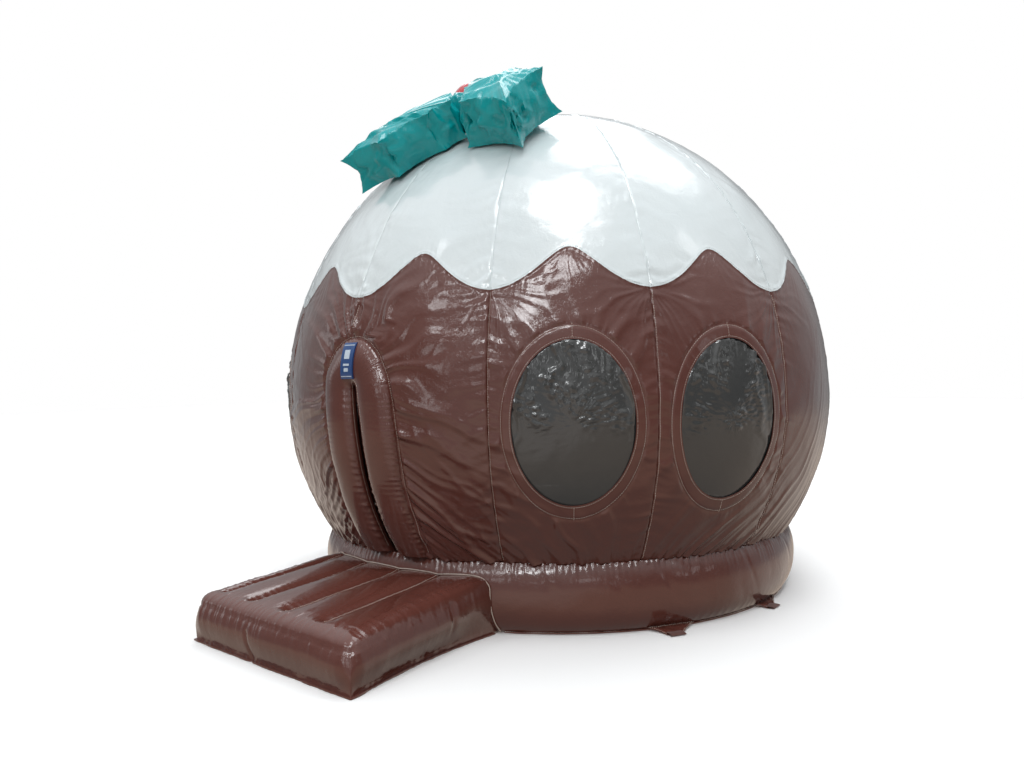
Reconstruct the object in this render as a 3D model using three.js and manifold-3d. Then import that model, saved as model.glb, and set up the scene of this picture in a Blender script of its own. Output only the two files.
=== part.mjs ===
// Air-supported play dome in the form of a Christmas pudding, in millimetres.
//
// A sewn PVC dome of thirteen gores stands on a round inflated bed. Each gore has a brown
// lower panel and a white upper panel whose scalloped edge looks like poured icing. Four
// gores carry an oval window of clear film. A padded slit door faces an inflated entrance
// step, a sprig of two stuffed holly leaves and three berries is strapped on the crown, and
// six anchor tabs are sewn to the foot of the bed.
//
// Frame: origin on the dome's axis at ground level, +Z up, -Y towards the step.

import * as THREE from "three";
import { mergeVertices } from "three/addons/utils/BufferGeometryUtils.js";
import Module from "manifold-3d";

const wasm = await Module();
wasm.setup();

// ---------------------------------------------------------------- driving dimensions

const GAP = 0.3; // clearance between pieces that are sewn or rest together

// dome skin: a spheroid of two half-heights, widest at its waist
const DOME_RADIUS = 2250;
const WAIST_Z = 1510;
const CROWN_RISE = 2360;
const LOWER_DROP = 1960;
const GORES = 13;
const SEAM_TURN = -2.5; // degrees from the door's centre line to the first seam
const SEAM_DIP = 14; // how far the skin is drawn in at a seam, at the waist
const SKIN_THICKNESS = 30;
const NECK_Z = 480; // where the skin meets the bed
const SCALLOP_LOW_Z = 2262; // the icing's edge, on a seam
const SCALLOP_PEAK_Z = 2526; // the icing's edge, half-way between two seams
const SCALLOP_ROUNDING = 0.3; // 0 is a pointed peak
const CROWN_DISC_LATITUDE = 87; // degrees, where the icing panels end at the crown disc
const CROWN_DISC_GAP = 1;

// oval windows, in the gores named by their place from the first seam
const WINDOW_GORES = [1, 2, 10, 11];
const WINDOW_Z = 1410;
const WINDOW_HALF_WIDTH = 390;
const WINDOW_HALF_HEIGHT = 522;

// bed: an inflated disc with a bulging wall
const BED_FOOT_RADIUS = 1862;
const BED_BELLY_RADIUS = 1965;
const BED_BELLY_Z = 256;
const BED_RIM_RADIUS = 1905;
const BED_TOP_Z = NECK_Z - 2 * GAP;

// entrance step: an inflated mat with sewn channels
const STEP_HALF_WIDTH = 750;
const STEP_FRONT_Y = -3055; // at the middle of its front
const STEP_SKEW = 38; // its right front corner lies this much further out, its left one less
const STEP_FLARE = 130; // its right side spreads outwards to the front
const STEP_FRONT_HEIGHT = 315;
const STEP_BACK_HEIGHT = 385;
const STEP_EDGE_ROUNDING = 110;
const STEP_CHANNELS_X = [-620, -275, 80, 410];
const STEP_CHANNEL_DEPTH = 34;
const STEP_CHANNEL_HALF_WIDTH = 60;

// padded slit door: one inflated tube bent into an arch, so tight that its legs almost meet
const DOOR_HALF_WIDTH = 335;
const DOOR_BASE_HALF_WIDTH = 305;
const DOOR_TOP_Z = 1985;
const DOOR_ARCH_Z = 1550; // where the sides turn into the arch
const DOOR_LEAN = -65; // the arch hangs this far towards the seam above it
const DOOR_LEAN_START_Z = 1200;
const SLIT_TOP_Z = 1655;
const SLIT_HALF_WIDTH_BASE = 45;
const SLIT_HALF_WIDTH_TOP = 18;
const TUBE_OUTWARD_FOOT = 92; // it stands out less and less towards the top of the arch
const TUBE_OUTWARD_TOP = 62;
const TUBE_INWARD = 80;
const TUBE_SQUARENESS = 2.3; // exponent of the superellipse of its section

// patch sewn over the top of the arch
const PATCH_CENTRE_X = -60;
const PATCH_HALF_WIDTH = 60;
const PATCH_BOTTOM_Z = 1705;
const PATCH_TOP_Z = 1950;
const PATCH_PROUD = 9; // its outer face above the tube
const PATCH_BURIED = 25; // its blank reaches this far into the tube, and is cut to fit it

// holly sprig
const SPRIG_ZENITH = 31.5; // degrees from the crown, towards the door
const SPRIG_AZIMUTH = 2;
const LEAF_CROWN = 25; // how far the top sheet rises above the gusset
const LEAF_HOLLOW = 0.16; // depth of the curve between two spikes, as a share of its chord
const LEAF_CUP = 2400; // radius that a leaf is bent to across its width
// stalk and spikes are corners of the outline, each by its distance along the leaf and aside
const LEAVES = [
  {
    name: "holly_leaf_right",
    root: [91, -117, 30],
    turn: 25,
    pitch: 13,
    roll: 2,
    bend: -2400,
    length: 740,
    height: 345,
    stalk: [68, 68],
    spikes: [[80, 238], [482, 422]],
  },
  {
    name: "holly_leaf_left",
    root: [-27, 55, 27],
    turn: 226,
    pitch: 6,
    roll: 4,
    bend: 12000,
    length: 890,
    height: 292,
    stalk: [-25, 68],
    spikes: [[30, 250], [214, 249], [600, 222]],
  },
];
const BERRY_RADIUS = 172;
const BERRIES = [
  [-70, 335, 150],
  [-240, 630, 77],
  [118, 620, 89],
];

// anchor tabs, sewn into the seam at the foot of the bed
const ANCHORS = [
  { azimuth: 60, reach: 155, slant: -60 },
  { azimuth: 91, reach: 95, slant: -110 },
  { azimuth: 140, reach: 150, slant: -20 },
  { azimuth: 220, reach: 150, slant: 20 },
  { azimuth: 268, reach: 130, slant: 40 },
  { azimuth: 300, reach: 155, slant: 30 },
];
const ANCHOR_ROOT_WIDTH = 400;
const ANCHOR_END_WIDTH = 130;
const ANCHOR_LOOP = 45;
const ANCHOR_THICKNESS = 8;
const ANCHOR_ROOT_RADIUS = BED_FOOT_RADIUS + 12;

// ---------------------------------------------------------------- colours

const FINISH = {
  brownPvc: { color: 0x5a332c, roughness: 0.22 },
  icingPvc: { color: 0xdfe6e8, roughness: 0.2 },
  clearFilm: { color: 0x565a59, roughness: 0.06, transparent: true, opacity: 0.6 },
  leafPvc: { color: 0x0d827a, roughness: 0.18 },
  berryPvc: { color: 0xc0182c, roughness: 0.2 },
  patchVinyl: { color: 0x1f4f96, roughness: 0.4 },
};

const pudding = new THREE.Group();
pudding.name = "christmas_pudding_dome";

function addPiece(name, geometry, finish) {
  const mesh = new THREE.Mesh(geometry, new THREE.MeshStandardMaterial({ metalness: 0, ...finish }));
  mesh.name = name;
  pudding.add(mesh);
  return mesh;
}

const rad = THREE.MathUtils.degToRad;
const number = (index) => String(index).padStart(2, "0");

// ---------------------------------------------------------------- closed solids from grids

// A closed body from rows of points: ring after ring, each with the same number of points,
// shut by a fan at both ends.
function loftedSolid(rings) {
  const count = rings[0].length;
  const points = rings.flat();
  const triangles = [];
  for (let row = 0; row + 1 < rings.length; row++) {
    for (let i = 0; i < count; i++) {
      const next = (i + 1) % count;
      const a = row * count + i;
      const b = row * count + next;
      triangles.push([a, b, b + count], [a, b + count, a + count]);
    }
  }
  for (const [row, flip] of [[0, true], [rings.length - 1, false]]) {
    const centre = rings[row].reduce((sum, p) => sum.add(p), new THREE.Vector3()).divideScalar(count);
    const middle = points.push(centre) - 1;
    for (let i = 0; i < count; i++) {
      const a = row * count + i;
      const b = row * count + ((i + 1) % count);
      triangles.push(flip ? [b, a, middle] : [a, b, middle]);
    }
  }
  return closedGeometry(points, triangles);
}

// A closed sheet of some thickness: the same grid of points on its outer and inner face.
function sheetSolid(outer, inner) {
  const rows = outer.length;
  const columns = outer[0].length;
  const points = [...outer.flat(), ...inner.flat()];
  const inside = rows * columns;
  const at = (row, column) => row * columns + column;
  const triangles = [];
  for (let row = 0; row + 1 < rows; row++) {
    for (let column = 0; column + 1 < columns; column++) {
      const quad = [at(row, column), at(row, column + 1), at(row + 1, column + 1), at(row + 1, column)];
      triangles.push([quad[0], quad[1], quad[2]], [quad[0], quad[2], quad[3]]);
      const back = quad.map((index) => index + inside);
      triangles.push([back[0], back[2], back[1]], [back[0], back[3], back[2]]);
    }
  }
  const rim = [];
  for (let column = 0; column < columns - 1; column++) rim.push(at(0, column));
  for (let row = 0; row < rows - 1; row++) rim.push(at(row, columns - 1));
  for (let column = columns - 1; column > 0; column--) rim.push(at(rows - 1, column));
  for (let row = rows - 1; row > 0; row--) rim.push(at(row, 0));
  rim.forEach((a, index) => {
    const b = rim[(index + 1) % rim.length];
    triangles.push([b, a, a + inside], [b, a + inside, b + inside]);
  });
  return closedGeometry(points, triangles);
}

function closedGeometry(points, triangles) {
  const geometry = new THREE.BufferGeometry();
  geometry.setAttribute("position", new THREE.Float32BufferAttribute(points.flatMap((p) => p.toArray()), 3));
  let volume = 0;
  for (const [a, b, c] of triangles) volume += points[a].dot(points[b].clone().cross(points[c]));
  geometry.setIndex((volume < 0 ? triangles.map(([a, b, c]) => [a, c, b]) : triangles).flat());
  geometry.computeVertexNormals();
  return geometry;
}

function toManifold(geometry) {
  const bare = geometry.clone();
  for (const name of Object.keys(bare.attributes)) if (name !== "position") bare.deleteAttribute(name);
  const merged = mergeVertices(bare, 1e-3);
  return new wasm.Manifold(
    new wasm.Mesh({
      numProp: 3,
      vertProperties: new Float32Array(merged.attributes.position.array),
      triVerts: new Uint32Array(merged.index.array),
    }),
  );
}

function fromManifold(solid) {
  const { vertProperties, triVerts } = solid.getMesh();
  const geometry = new THREE.BufferGeometry();
  geometry.setAttribute("position", new THREE.BufferAttribute(vertProperties, 3));
  geometry.setIndex(new THREE.BufferAttribute(triVerts, 1));
  geometry.computeVertexNormals();
  return geometry;
}

// ---------------------------------------------------------------- dome surface

const SKIN_COLUMNS = 8;
const SKIN_ROWS = 6;
const ICING_ROWS = 6;
const GORE_ANGLE = 360 / GORES;

const halfHeight = (latitude) => (latitude > 0 ? CROWN_RISE : LOWER_DROP);

function latitudeAt(z) {
  const rise = z - WAIST_Z;
  return THREE.MathUtils.radToDeg(Math.asin(rise / halfHeight(rise)));
}

// Point on the dome: across is the place in the gore, 0 at its first seam and 1 at its next,
// and inset is measured inwards, square to the surface.
function domePoint(gore, across, latitude, inset = 0) {
  const height = halfHeight(latitude);
  const cos = Math.cos(rad(latitude));
  const sin = Math.sin(rad(latitude));
  const normal = new THREE.Vector2(cos / DOME_RADIUS, sin / height).normalize();
  const dip = SEAM_DIP * cos * (2 * across - 1) ** 2;
  const radius = DOME_RADIUS * cos - (inset + dip) * normal.x;
  const z = WAIST_Z + height * sin - (inset + dip) * normal.y;
  const azimuth = rad(SEAM_TURN + (gore + across) * GORE_ANGLE);
  const point = new THREE.Vector3(radius * Math.sin(azimuth), -radius * Math.cos(azimuth), z);
  const onSeam = across === 0 ? 1 : across === 1 ? -1 : 0;
  const along = new THREE.Vector3(Math.cos(azimuth), Math.sin(azimuth), 0);
  return point.addScaledVector(along, (onSeam * GAP) / 2);
}

function scallopLatitude(across) {
  const wave = Math.hypot(Math.cos(Math.PI * across), SCALLOP_ROUNDING);
  const most = Math.hypot(1, SCALLOP_ROUNDING);
  const share = (most - wave) / (most - SCALLOP_ROUNDING);
  return latitudeAt(SCALLOP_LOW_Z + (SCALLOP_PEAK_Z - SCALLOP_LOW_Z) * share);
}

function gorePanel(gore, rows, lowest, highest) {
  const face = (inset) =>
    Array.from({ length: rows + 1 }, (_, row) =>
      Array.from({ length: SKIN_COLUMNS + 1 }, (_, column) => {
        const across = column / SKIN_COLUMNS;
        const latitude = THREE.MathUtils.lerp(lowest(across), highest(across), row / rows);
        return domePoint(gore, across, latitude, inset);
      }),
    );
  return sheetSolid(face(0), face(SKIN_THICKNESS));
}

const EDGE_GAP = THREE.MathUtils.radToDeg(GAP / 2 / DOME_RADIUS);
const brownPanel = (gore) =>
  gorePanel(gore, SKIN_ROWS, () => latitudeAt(NECK_Z), (across) => scallopLatitude(across) - EDGE_GAP);
const icingPanel = (gore) =>
  gorePanel(gore, ICING_ROWS, (across) => scallopLatitude(across) + EDGE_GAP, () => CROWN_DISC_LATITUDE);

// ---------------------------------------------------------------- windows

// A prism with an oval section that passes through the wall of one gore
function windowCutter(gore, margin) {
  const outline = new THREE.Shape();
  outline.absellipse(0, 0, WINDOW_HALF_WIDTH + margin, WINDOW_HALF_HEIGHT + margin, 0, 2 * Math.PI);
  const geometry = new THREE.ExtrudeGeometry(outline, {
    depth: DOME_RADIUS,
    bevelEnabled: false,
    curveSegments: 14,
  });
  const turn = rad(SEAM_TURN + (gore + 0.5) * GORE_ANGLE);
  geometry.rotateX(Math.PI / 2); // the oval stands up and the prism reaches to -Y
  geometry.translate(0, -DOME_RADIUS / 2, WINDOW_Z);
  geometry.rotateZ(turn);
  return toManifold(geometry);
}

// ---------------------------------------------------------------- padded slit door

const DOOR_FOOT_Z = NECK_Z + GAP;
const LEG_STATIONS = 8;
const ARCH_STATIONS = 9;
const TUBE_SIDES = 14;

function doorCentre(z) {
  return DOOR_LEAN * THREE.MathUtils.smoothstep(z, DOOR_LEAN_START_Z, DOOR_TOP_Z);
}

// Stations along the tube, up one leg, round the arch and down the other. Each has the tube's
// inner and outer edge, seen square to the door. The margin moves the outer edge outwards.
function doorStations(margin = 0) {
  const edge = (x, z) => new THREE.Vector2(doorCentre(z) + x, z);
  const slitCentreZ = SLIT_TOP_Z - SLIT_HALF_WIDTH_TOP;
  const legStation = (side, share) => {
    const z = THREE.MathUtils.lerp(DOOR_FOOT_Z, DOOR_ARCH_Z, share);
    const outer = THREE.MathUtils.lerp(DOOR_HALF_WIDTH, DOOR_BASE_HALF_WIDTH, (1 - share) ** 2);
    const up = (z - DOOR_FOOT_Z) / (SLIT_TOP_Z - DOOR_FOOT_Z);
    const inner = THREE.MathUtils.lerp(SLIT_HALF_WIDTH_BASE, SLIT_HALF_WIDTH_TOP, up);
    return { inner: edge(side * inner, z), outer: edge(side * (outer + margin), z) };
  };
  const archStation = (angle) => ({
    inner: edge(
      SLIT_HALF_WIDTH_TOP * Math.cos(angle),
      slitCentreZ + SLIT_HALF_WIDTH_TOP * Math.sin(angle),
    ),
    outer: edge(
      (DOOR_HALF_WIDTH + margin) * Math.cos(angle),
      DOOR_ARCH_Z + (DOOR_TOP_Z - DOOR_ARCH_Z + margin) * Math.sin(angle),
    ),
  });
  const leg = Array.from({ length: LEG_STATIONS }, (_, i) => i / (LEG_STATIONS - 1));
  const arch = Array.from({ length: ARCH_STATIONS }, (_, i) => (Math.PI * (i + 1)) / (ARCH_STATIONS + 1));
  return [
    ...leg.map((share) => legStation(1, share)),
    ...arch.map(archStation),
    ...leg.reverse().map((share) => legStation(-1, share)),
  ];
}

// Distance of the dome's outer face from the XZ plane, at a place on the door
function domeDepth(x, z) {
  const radius = DOME_RADIUS * Math.cos(rad(latitudeAt(z)));
  return Math.sqrt(radius * radius - x * x);
}

// How far the tube stands out of the dome at a height
function tubeOutward(z) {
  const up = (z - DOOR_FOOT_Z) / (DOOR_TOP_Z - DOOR_FOOT_Z);
  return THREE.MathUtils.lerp(TUBE_OUTWARD_FOOT, TUBE_OUTWARD_TOP, up);
}

const signedPower = (value, exponent) => Math.sign(value) * Math.abs(value) ** exponent;

function doorSurround(margin = 0) {
  const rings = doorStations(margin).map(({ inner, outer }) => {
    const middle = inner.clone().add(outer).divideScalar(2);
    const half = outer.clone().sub(middle);
    return Array.from({ length: TUBE_SIDES }, (_, i) => {
      const angle = (2 * Math.PI * i) / TUBE_SIDES;
      const place = middle.clone().addScaledVector(half, signedPower(Math.cos(angle), 2 / TUBE_SQUARENESS));
      const bulge = Math.sin(angle) > 0 ? tubeOutward(place.y) : TUBE_INWARD;
      const proud = bulge * signedPower(Math.sin(angle), 2 / TUBE_SQUARENESS);
      const depth = domeDepth(place.x, place.y) - SKIN_THICKNESS / 2 + proud * (1 + margin / bulge);
      return new THREE.Vector3(place.x, -depth, place.y);
    });
  });
  return loftedSolid(rings);
}

// The arch's outline, pushed through the front wall, that the skin leaves open for the door
function doorCutter() {
  const outline = doorStations(GAP).map(({ outer }) => outer);
  const below = NECK_Z - SKIN_THICKNESS;
  outline.unshift(new THREE.Vector2(outline[0].x, below));
  outline.push(new THREE.Vector2(outline[outline.length - 1].x, below));
  const geometry = new THREE.ExtrudeGeometry(new THREE.Shape(outline), {
    depth: DOME_RADIUS,
    bevelEnabled: false,
  });
  geometry.rotateX(Math.PI / 2);
  geometry.translate(0, -DOME_RADIUS / 2, 0);
  return toManifold(geometry);
}

// Vinyl patch that follows the tube over the top of the arch
function doorPatch() {
  const columns = 4;
  const rows = 8;
  const face = (height) =>
    Array.from({ length: rows + 1 }, (_, row) =>
      Array.from({ length: columns + 1 }, (_, column) => {
        const z = THREE.MathUtils.lerp(PATCH_BOTTOM_Z, PATCH_TOP_Z, row / rows);
        const x = PATCH_CENTRE_X + PATCH_HALF_WIDTH * ((2 * column) / columns - 1);
        const aside = (x - doorCentre(z)) / DOOR_HALF_WIDTH;
        const outerZ = THREE.MathUtils.lerp(DOOR_ARCH_Z, DOOR_TOP_Z, Math.sqrt(1 - aside ** 2));
        const place = (2 * (z - SLIT_TOP_Z)) / (outerZ - SLIT_TOP_Z) - 1;
        const proud = tubeOutward(z) * (1 - Math.abs(place) ** TUBE_SQUARENESS) ** (1 / TUBE_SQUARENESS);
        return new THREE.Vector3(x, -(domeDepth(x, z) - SKIN_THICKNESS / 2 + proud + height), z);
      }),
    );
  const blank = toManifold(sheetSolid(face(PATCH_PROUD), face(-PATCH_BURIED)));
  return fromManifold(blank.subtract(toManifold(doorSurround(2 * GAP))));
}

// ---------------------------------------------------------------- gores

const doorOpening = doorCutter();
for (let gore = 0; gore < GORES; gore++) {
  let panel = brownPanel(gore);
  if (gore === 0 || gore === GORES - 1) {
    panel = fromManifold(toManifold(panel).subtract(doorOpening));
  }
  if (WINDOW_GORES.includes(gore)) {
    const whole = toManifold(panel);
    panel = fromManifold(whole.subtract(windowCutter(gore, GAP)));
    const pane = whole.intersect(windowCutter(gore, 0));
    addPiece(`window_pane_${number(gore + 1)}`, fromManifold(pane), FINISH.clearFilm);
  }
  addPiece(`skin_panel_${number(gore + 1)}`, panel, FINISH.brownPvc);
  addPiece(`icing_panel_${number(gore + 1)}`, icingPanel(gore), FINISH.icingPvc);
}

// Round disc that closes the hole where the gores come together
function crownDisc() {
  const rim = (inset) => {
    const edge = domePoint(0, 0.5, CROWN_DISC_LATITUDE, inset);
    return new THREE.Vector2(Math.hypot(edge.x, edge.y) - CROWN_DISC_GAP, edge.z);
  };
  const [top, bottom] = [rim(0), rim(SKIN_THICKNESS)];
  const summit = WAIST_Z + CROWN_RISE;
  const profile = [
    new THREE.Vector2(0, bottom.y),
    bottom,
    top,
    new THREE.Vector2(top.x / 2, THREE.MathUtils.lerp(top.y, summit, 0.75)),
    new THREE.Vector2(0, summit),
  ];
  return new THREE.LatheGeometry(profile, 2 * GORES).rotateX(Math.PI / 2);
}

// ---------------------------------------------------------------- bed

const BED_SEGMENTS = 5 * GORES;

// Half-section of the bed, grown by a margin
function bedProfile(margin) {
  const wall = [
    [BED_FOOT_RADIUS, 0],
    [BED_FOOT_RADIUS + 56, 70],
    [BED_FOOT_RADIUS + 90, 155],
    [BED_BELLY_RADIUS, BED_BELLY_Z],
    [BED_BELLY_RADIUS - 4, 340],
    [BED_BELLY_RADIUS - 20, 405],
    [BED_RIM_RADIUS + 16, 455],
    [BED_RIM_RADIUS, BED_TOP_Z],
  ].map(([r, z]) => new THREE.Vector2(r + margin, z));
  const foot = new THREE.Vector2(0, -margin);
  const top = new THREE.Vector2(0, BED_TOP_Z + margin);
  wall[0].y -= margin;
  wall[wall.length - 1].y += margin;
  return [foot, ...wall, top];
}

function bedSolid(margin) {
  return new THREE.LatheGeometry(bedProfile(margin), BED_SEGMENTS).rotateX(Math.PI / 2);
}

// ---------------------------------------------------------------- entrance step

const STEP_BACK_Y = -1700; // inside the bed, which then cuts the step's back to its own curve
const STEP_STATIONS = 12;
const STEP_EDGE_DROP = 75; // from the flat of the top down to its edge
const STEP_CHANNEL_FADE = 130; // the sewn channels fade out this far from the front
const STEP_WAIST = 45; // how far the foot is drawn in half-way along a side
const STEP_WALL_BULGE = 10;
const STEP_WALL_BULGE_Z = 100;

// Where the sections have their points, across the step: at its rounded edges, at each channel
// and beside it, and half-way between channels
const stepAcross = (() => {
  const lines = [];
  for (const share of [0, 0.12, 0.4, 1]) {
    lines.push(STEP_HALF_WIDTH - share * STEP_EDGE_ROUNDING, share * STEP_EDGE_ROUNDING - STEP_HALF_WIDTH);
  }
  STEP_CHANNELS_X.forEach((x, index) => {
    lines.push(x - STEP_CHANNEL_HALF_WIDTH, x, x + STEP_CHANNEL_HALF_WIDTH);
    if (index > 0) lines.push((x + STEP_CHANNELS_X[index - 1]) / 2);
  });
  return lines.sort((a, b) => a - b);
})();

// Height of the step's top above the ground
function stepTop(x, fromFront) {
  const fromEdge = (distance) => {
    const inside = Math.min(1, distance / STEP_EDGE_ROUNDING);
    return 1 - Math.sqrt(1 - (1 - inside) ** 2);
  };
  const fromSide = STEP_HALF_WIDTH - Math.abs(x);
  const drop = STEP_EDGE_DROP * Math.max(fromEdge(fromSide), fromEdge(fromFront));
  const along = Math.min(1, fromFront / (-BED_FOOT_RADIUS - STEP_FRONT_Y));
  const level = THREE.MathUtils.lerp(STEP_FRONT_HEIGHT, STEP_BACK_HEIGHT, along);
  const fade = THREE.MathUtils.smoothstep(fromFront, STEP_CHANNEL_FADE, 2 * STEP_CHANNEL_FADE);
  const channel = STEP_CHANNELS_X.includes(x) ? STEP_CHANNEL_DEPTH * fade : 0;
  return level - drop - channel;
}

// The step as sections from front to back; each section is one closed outline
function stepSolid() {
  const rings = Array.from({ length: STEP_STATIONS + 1 }, (_, i) => {
    const fromFront = (STEP_BACK_Y - STEP_FRONT_Y) * (i / STEP_STATIONS) ** 1.5;
    const toFront = 1 - fromFront / (STEP_BACK_Y - STEP_FRONT_Y);
    const waist = STEP_WAIST * Math.sin(Math.PI * toFront);
    const point = (x, z) => {
      const aside = x / STEP_HALF_WIDTH;
      const flare = STEP_FLARE * Math.max(0, aside) * toFront ** 1.2;
      return new THREE.Vector3(x + flare, STEP_FRONT_Y + fromFront - STEP_SKEW * aside * toFront, z);
    };
    const top = stepAcross.map((x) => point(x, stepTop(x, fromFront)));
    const wall = (side) => [
      point(side * (STEP_HALF_WIDTH + STEP_WALL_BULGE), STEP_WALL_BULGE_Z),
      point(side * (STEP_HALF_WIDTH - waist), 0),
    ];
    return [...top, ...wall(1), ...wall(-1).reverse()];
  });
  return loftedSolid(rings);
}

// ---------------------------------------------------------------- holly sprig

const sprigFrame = (() => {
  const azimuth = rad(SPRIG_AZIMUTH);
  const zenith = rad(SPRIG_ZENITH);
  const outward = new THREE.Vector3(Math.sin(azimuth), -Math.cos(azimuth), 0);
  const origin = outward.clone().multiplyScalar(DOME_RADIUS * Math.sin(zenith));
  origin.z = WAIST_Z + CROWN_RISE * Math.cos(zenith);
  const normal = outward.clone().multiplyScalar(Math.sin(zenith) / DOME_RADIUS);
  normal.z = Math.cos(zenith) / CROWN_RISE;
  normal.normalize();
  const across = new THREE.Vector3(Math.cos(azimuth), Math.sin(azimuth), 0);
  const upSlope = new THREE.Vector3().crossVectors(normal, across);
  return { origin, across, upSlope, normal };
})();

function sprigPoint(across, upSlope, height) {
  return sprigFrame.origin
    .clone()
    .addScaledVector(sprigFrame.across, across)
    .addScaledVector(sprigFrame.upSlope, upSlope)
    .addScaledVector(sprigFrame.normal, height + GAP);
}

const LEAF_STEPS = 4;
const LEAF_GUSSET_BULGE = 38;
const LEAF_BASE_HOLLOW = 48; // the underside is pushed in where it lies on the dome

// Points round a leaf, on the flat: spikes joined by hollow curves. Along runs from the stalk to
// the tip. Each point carries how close it is to the middle of its hollow curve.
function leafOutline({ length, stalk, spikes }) {
  const side = [stalk, ...spikes];
  const mirrored = side.map(([along, aside]) => [along, -aside]);
  const corners = [...mirrored, [length, 0], ...side.reverse()];
  return corners.flatMap(([along, aside], index) => {
    const from = new THREE.Vector2(along, aside);
    const chord = new THREE.Vector2(...corners[(index + 1) % corners.length]).sub(from);
    const inward = new THREE.Vector2(-chord.y, chord.x);
    const isStalk = index === corners.length - 1;
    return Array.from({ length: LEAF_STEPS }, (_, step) => {
      const t = step / LEAF_STEPS;
      const middle = isStalk ? 0 : 4 * t * (1 - t);
      const flat = from.clone().addScaledVector(chord, t).addScaledVector(inward, LEAF_HOLLOW * middle);
      return { flat, middle };
    });
  });
}

// A leaf is two sheets and a gusset between them, blown up. It is bent both ways, turned about
// its stalk, pitched down and rolled.
function leafSolid(leaf) {
  const attitude = new THREE.Euler(rad(leaf.roll), rad(leaf.pitch), rad(leaf.turn), "ZYX");
  const place = (flat, height) => {
    const cup = flat.y / LEAF_CUP;
    const lift = (LEAF_CUP + height) * Math.cos(cup) - LEAF_CUP;
    const arc = flat.x / leaf.bend;
    const point = new THREE.Vector3(
      (leaf.bend + lift) * Math.sin(arc),
      (LEAF_CUP + height) * Math.sin(cup),
      (leaf.bend + lift) * Math.cos(arc) - leaf.bend,
    );
    point.applyEuler(attitude).add(new THREE.Vector3(...leaf.root));
    return sprigPoint(point.x, point.y, point.z);
  };
  const outline = leafOutline(leaf);
  const heart = new THREE.Vector2(leaf.length / 2, 0);
  const ring = (share, height, bulge = 0) =>
    outline.map(({ flat, middle }) => {
      const away = flat.clone().sub(heart);
      const reach = share + (bulge * middle) / away.length();
      return place(heart.clone().addScaledVector(away, reach), height);
    });
  return loftedSolid([
    ring(0.5, LEAF_BASE_HOLLOW),
    ring(1, 0),
    ring(1, leaf.height / 2, LEAF_GUSSET_BULGE),
    ring(1, leaf.height),
    ring(0.55, leaf.height + LEAF_CROWN),
  ]);
}

// ---------------------------------------------------------------- anchor tabs

// A gusset of doubled PVC that tapers to a folded webbing loop, lying on the ground. The loop
// lies to one side of the gusset's middle by its slant.
function anchorTab({ azimuth, reach, slant }) {
  const halfEnd = ANCHOR_END_WIDTH / 2;
  const rootAngle = Math.asin(ANCHOR_ROOT_WIDTH / 2 / ANCHOR_ROOT_RADIUS);
  const endY = -ANCHOR_ROOT_RADIUS - reach;
  const shape = new THREE.Shape([
    new THREE.Vector2(slant - halfEnd, endY),
    new THREE.Vector2(slant + halfEnd, endY),
  ]);
  const rootSteps = 4;
  for (let i = 0; i <= rootSteps; i++) {
    const turn = rootAngle * (1 - (2 * i) / rootSteps);
    shape.lineTo(ANCHOR_ROOT_RADIUS * Math.sin(turn), -ANCHOR_ROOT_RADIUS * Math.cos(turn));
  }
  const gusset = new THREE.ExtrudeGeometry(shape, { depth: ANCHOR_THICKNESS, bevelEnabled: false });
  const loop = new THREE.BoxGeometry(ANCHOR_END_WIDTH, 2 * ANCHOR_LOOP, 2 * ANCHOR_THICKNESS);
  loop.translate(slant, endY, ANCHOR_THICKNESS);
  return fromManifold(toManifold(gusset).add(toManifold(loop))).rotateZ(rad(azimuth));
}

// ---------------------------------------------------------------- assembly

addPiece("crown_disc", crownDisc(), FINISH.icingPvc);
addPiece("bed", bedSolid(0), FINISH.brownPvc);
addPiece(
  "entrance_step",
  fromManifold(toManifold(stepSolid()).subtract(toManifold(bedSolid(GAP)))),
  FINISH.brownPvc,
);

addPiece("door_surround", doorSurround(), FINISH.brownPvc);
addPiece("door_patch", doorPatch(), FINISH.patchVinyl);

LEAVES.forEach((leaf) => addPiece(leaf.name, leafSolid(leaf), FINISH.leafPvc));
BERRIES.forEach((place, index) => {
  const berry = new THREE.SphereGeometry(BERRY_RADIUS, 14, 9);
  const mesh = addPiece(`holly_berry_${number(index + 1)}`, berry, FINISH.berryPvc);
  mesh.position.copy(sprigPoint(...place));
});

ANCHORS.forEach((anchor, index) =>
  addPiece(`anchor_tab_${number(index + 1)}`, anchorTab(anchor), FINISH.brownPvc),
);

export default pudding;
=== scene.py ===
import math

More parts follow.
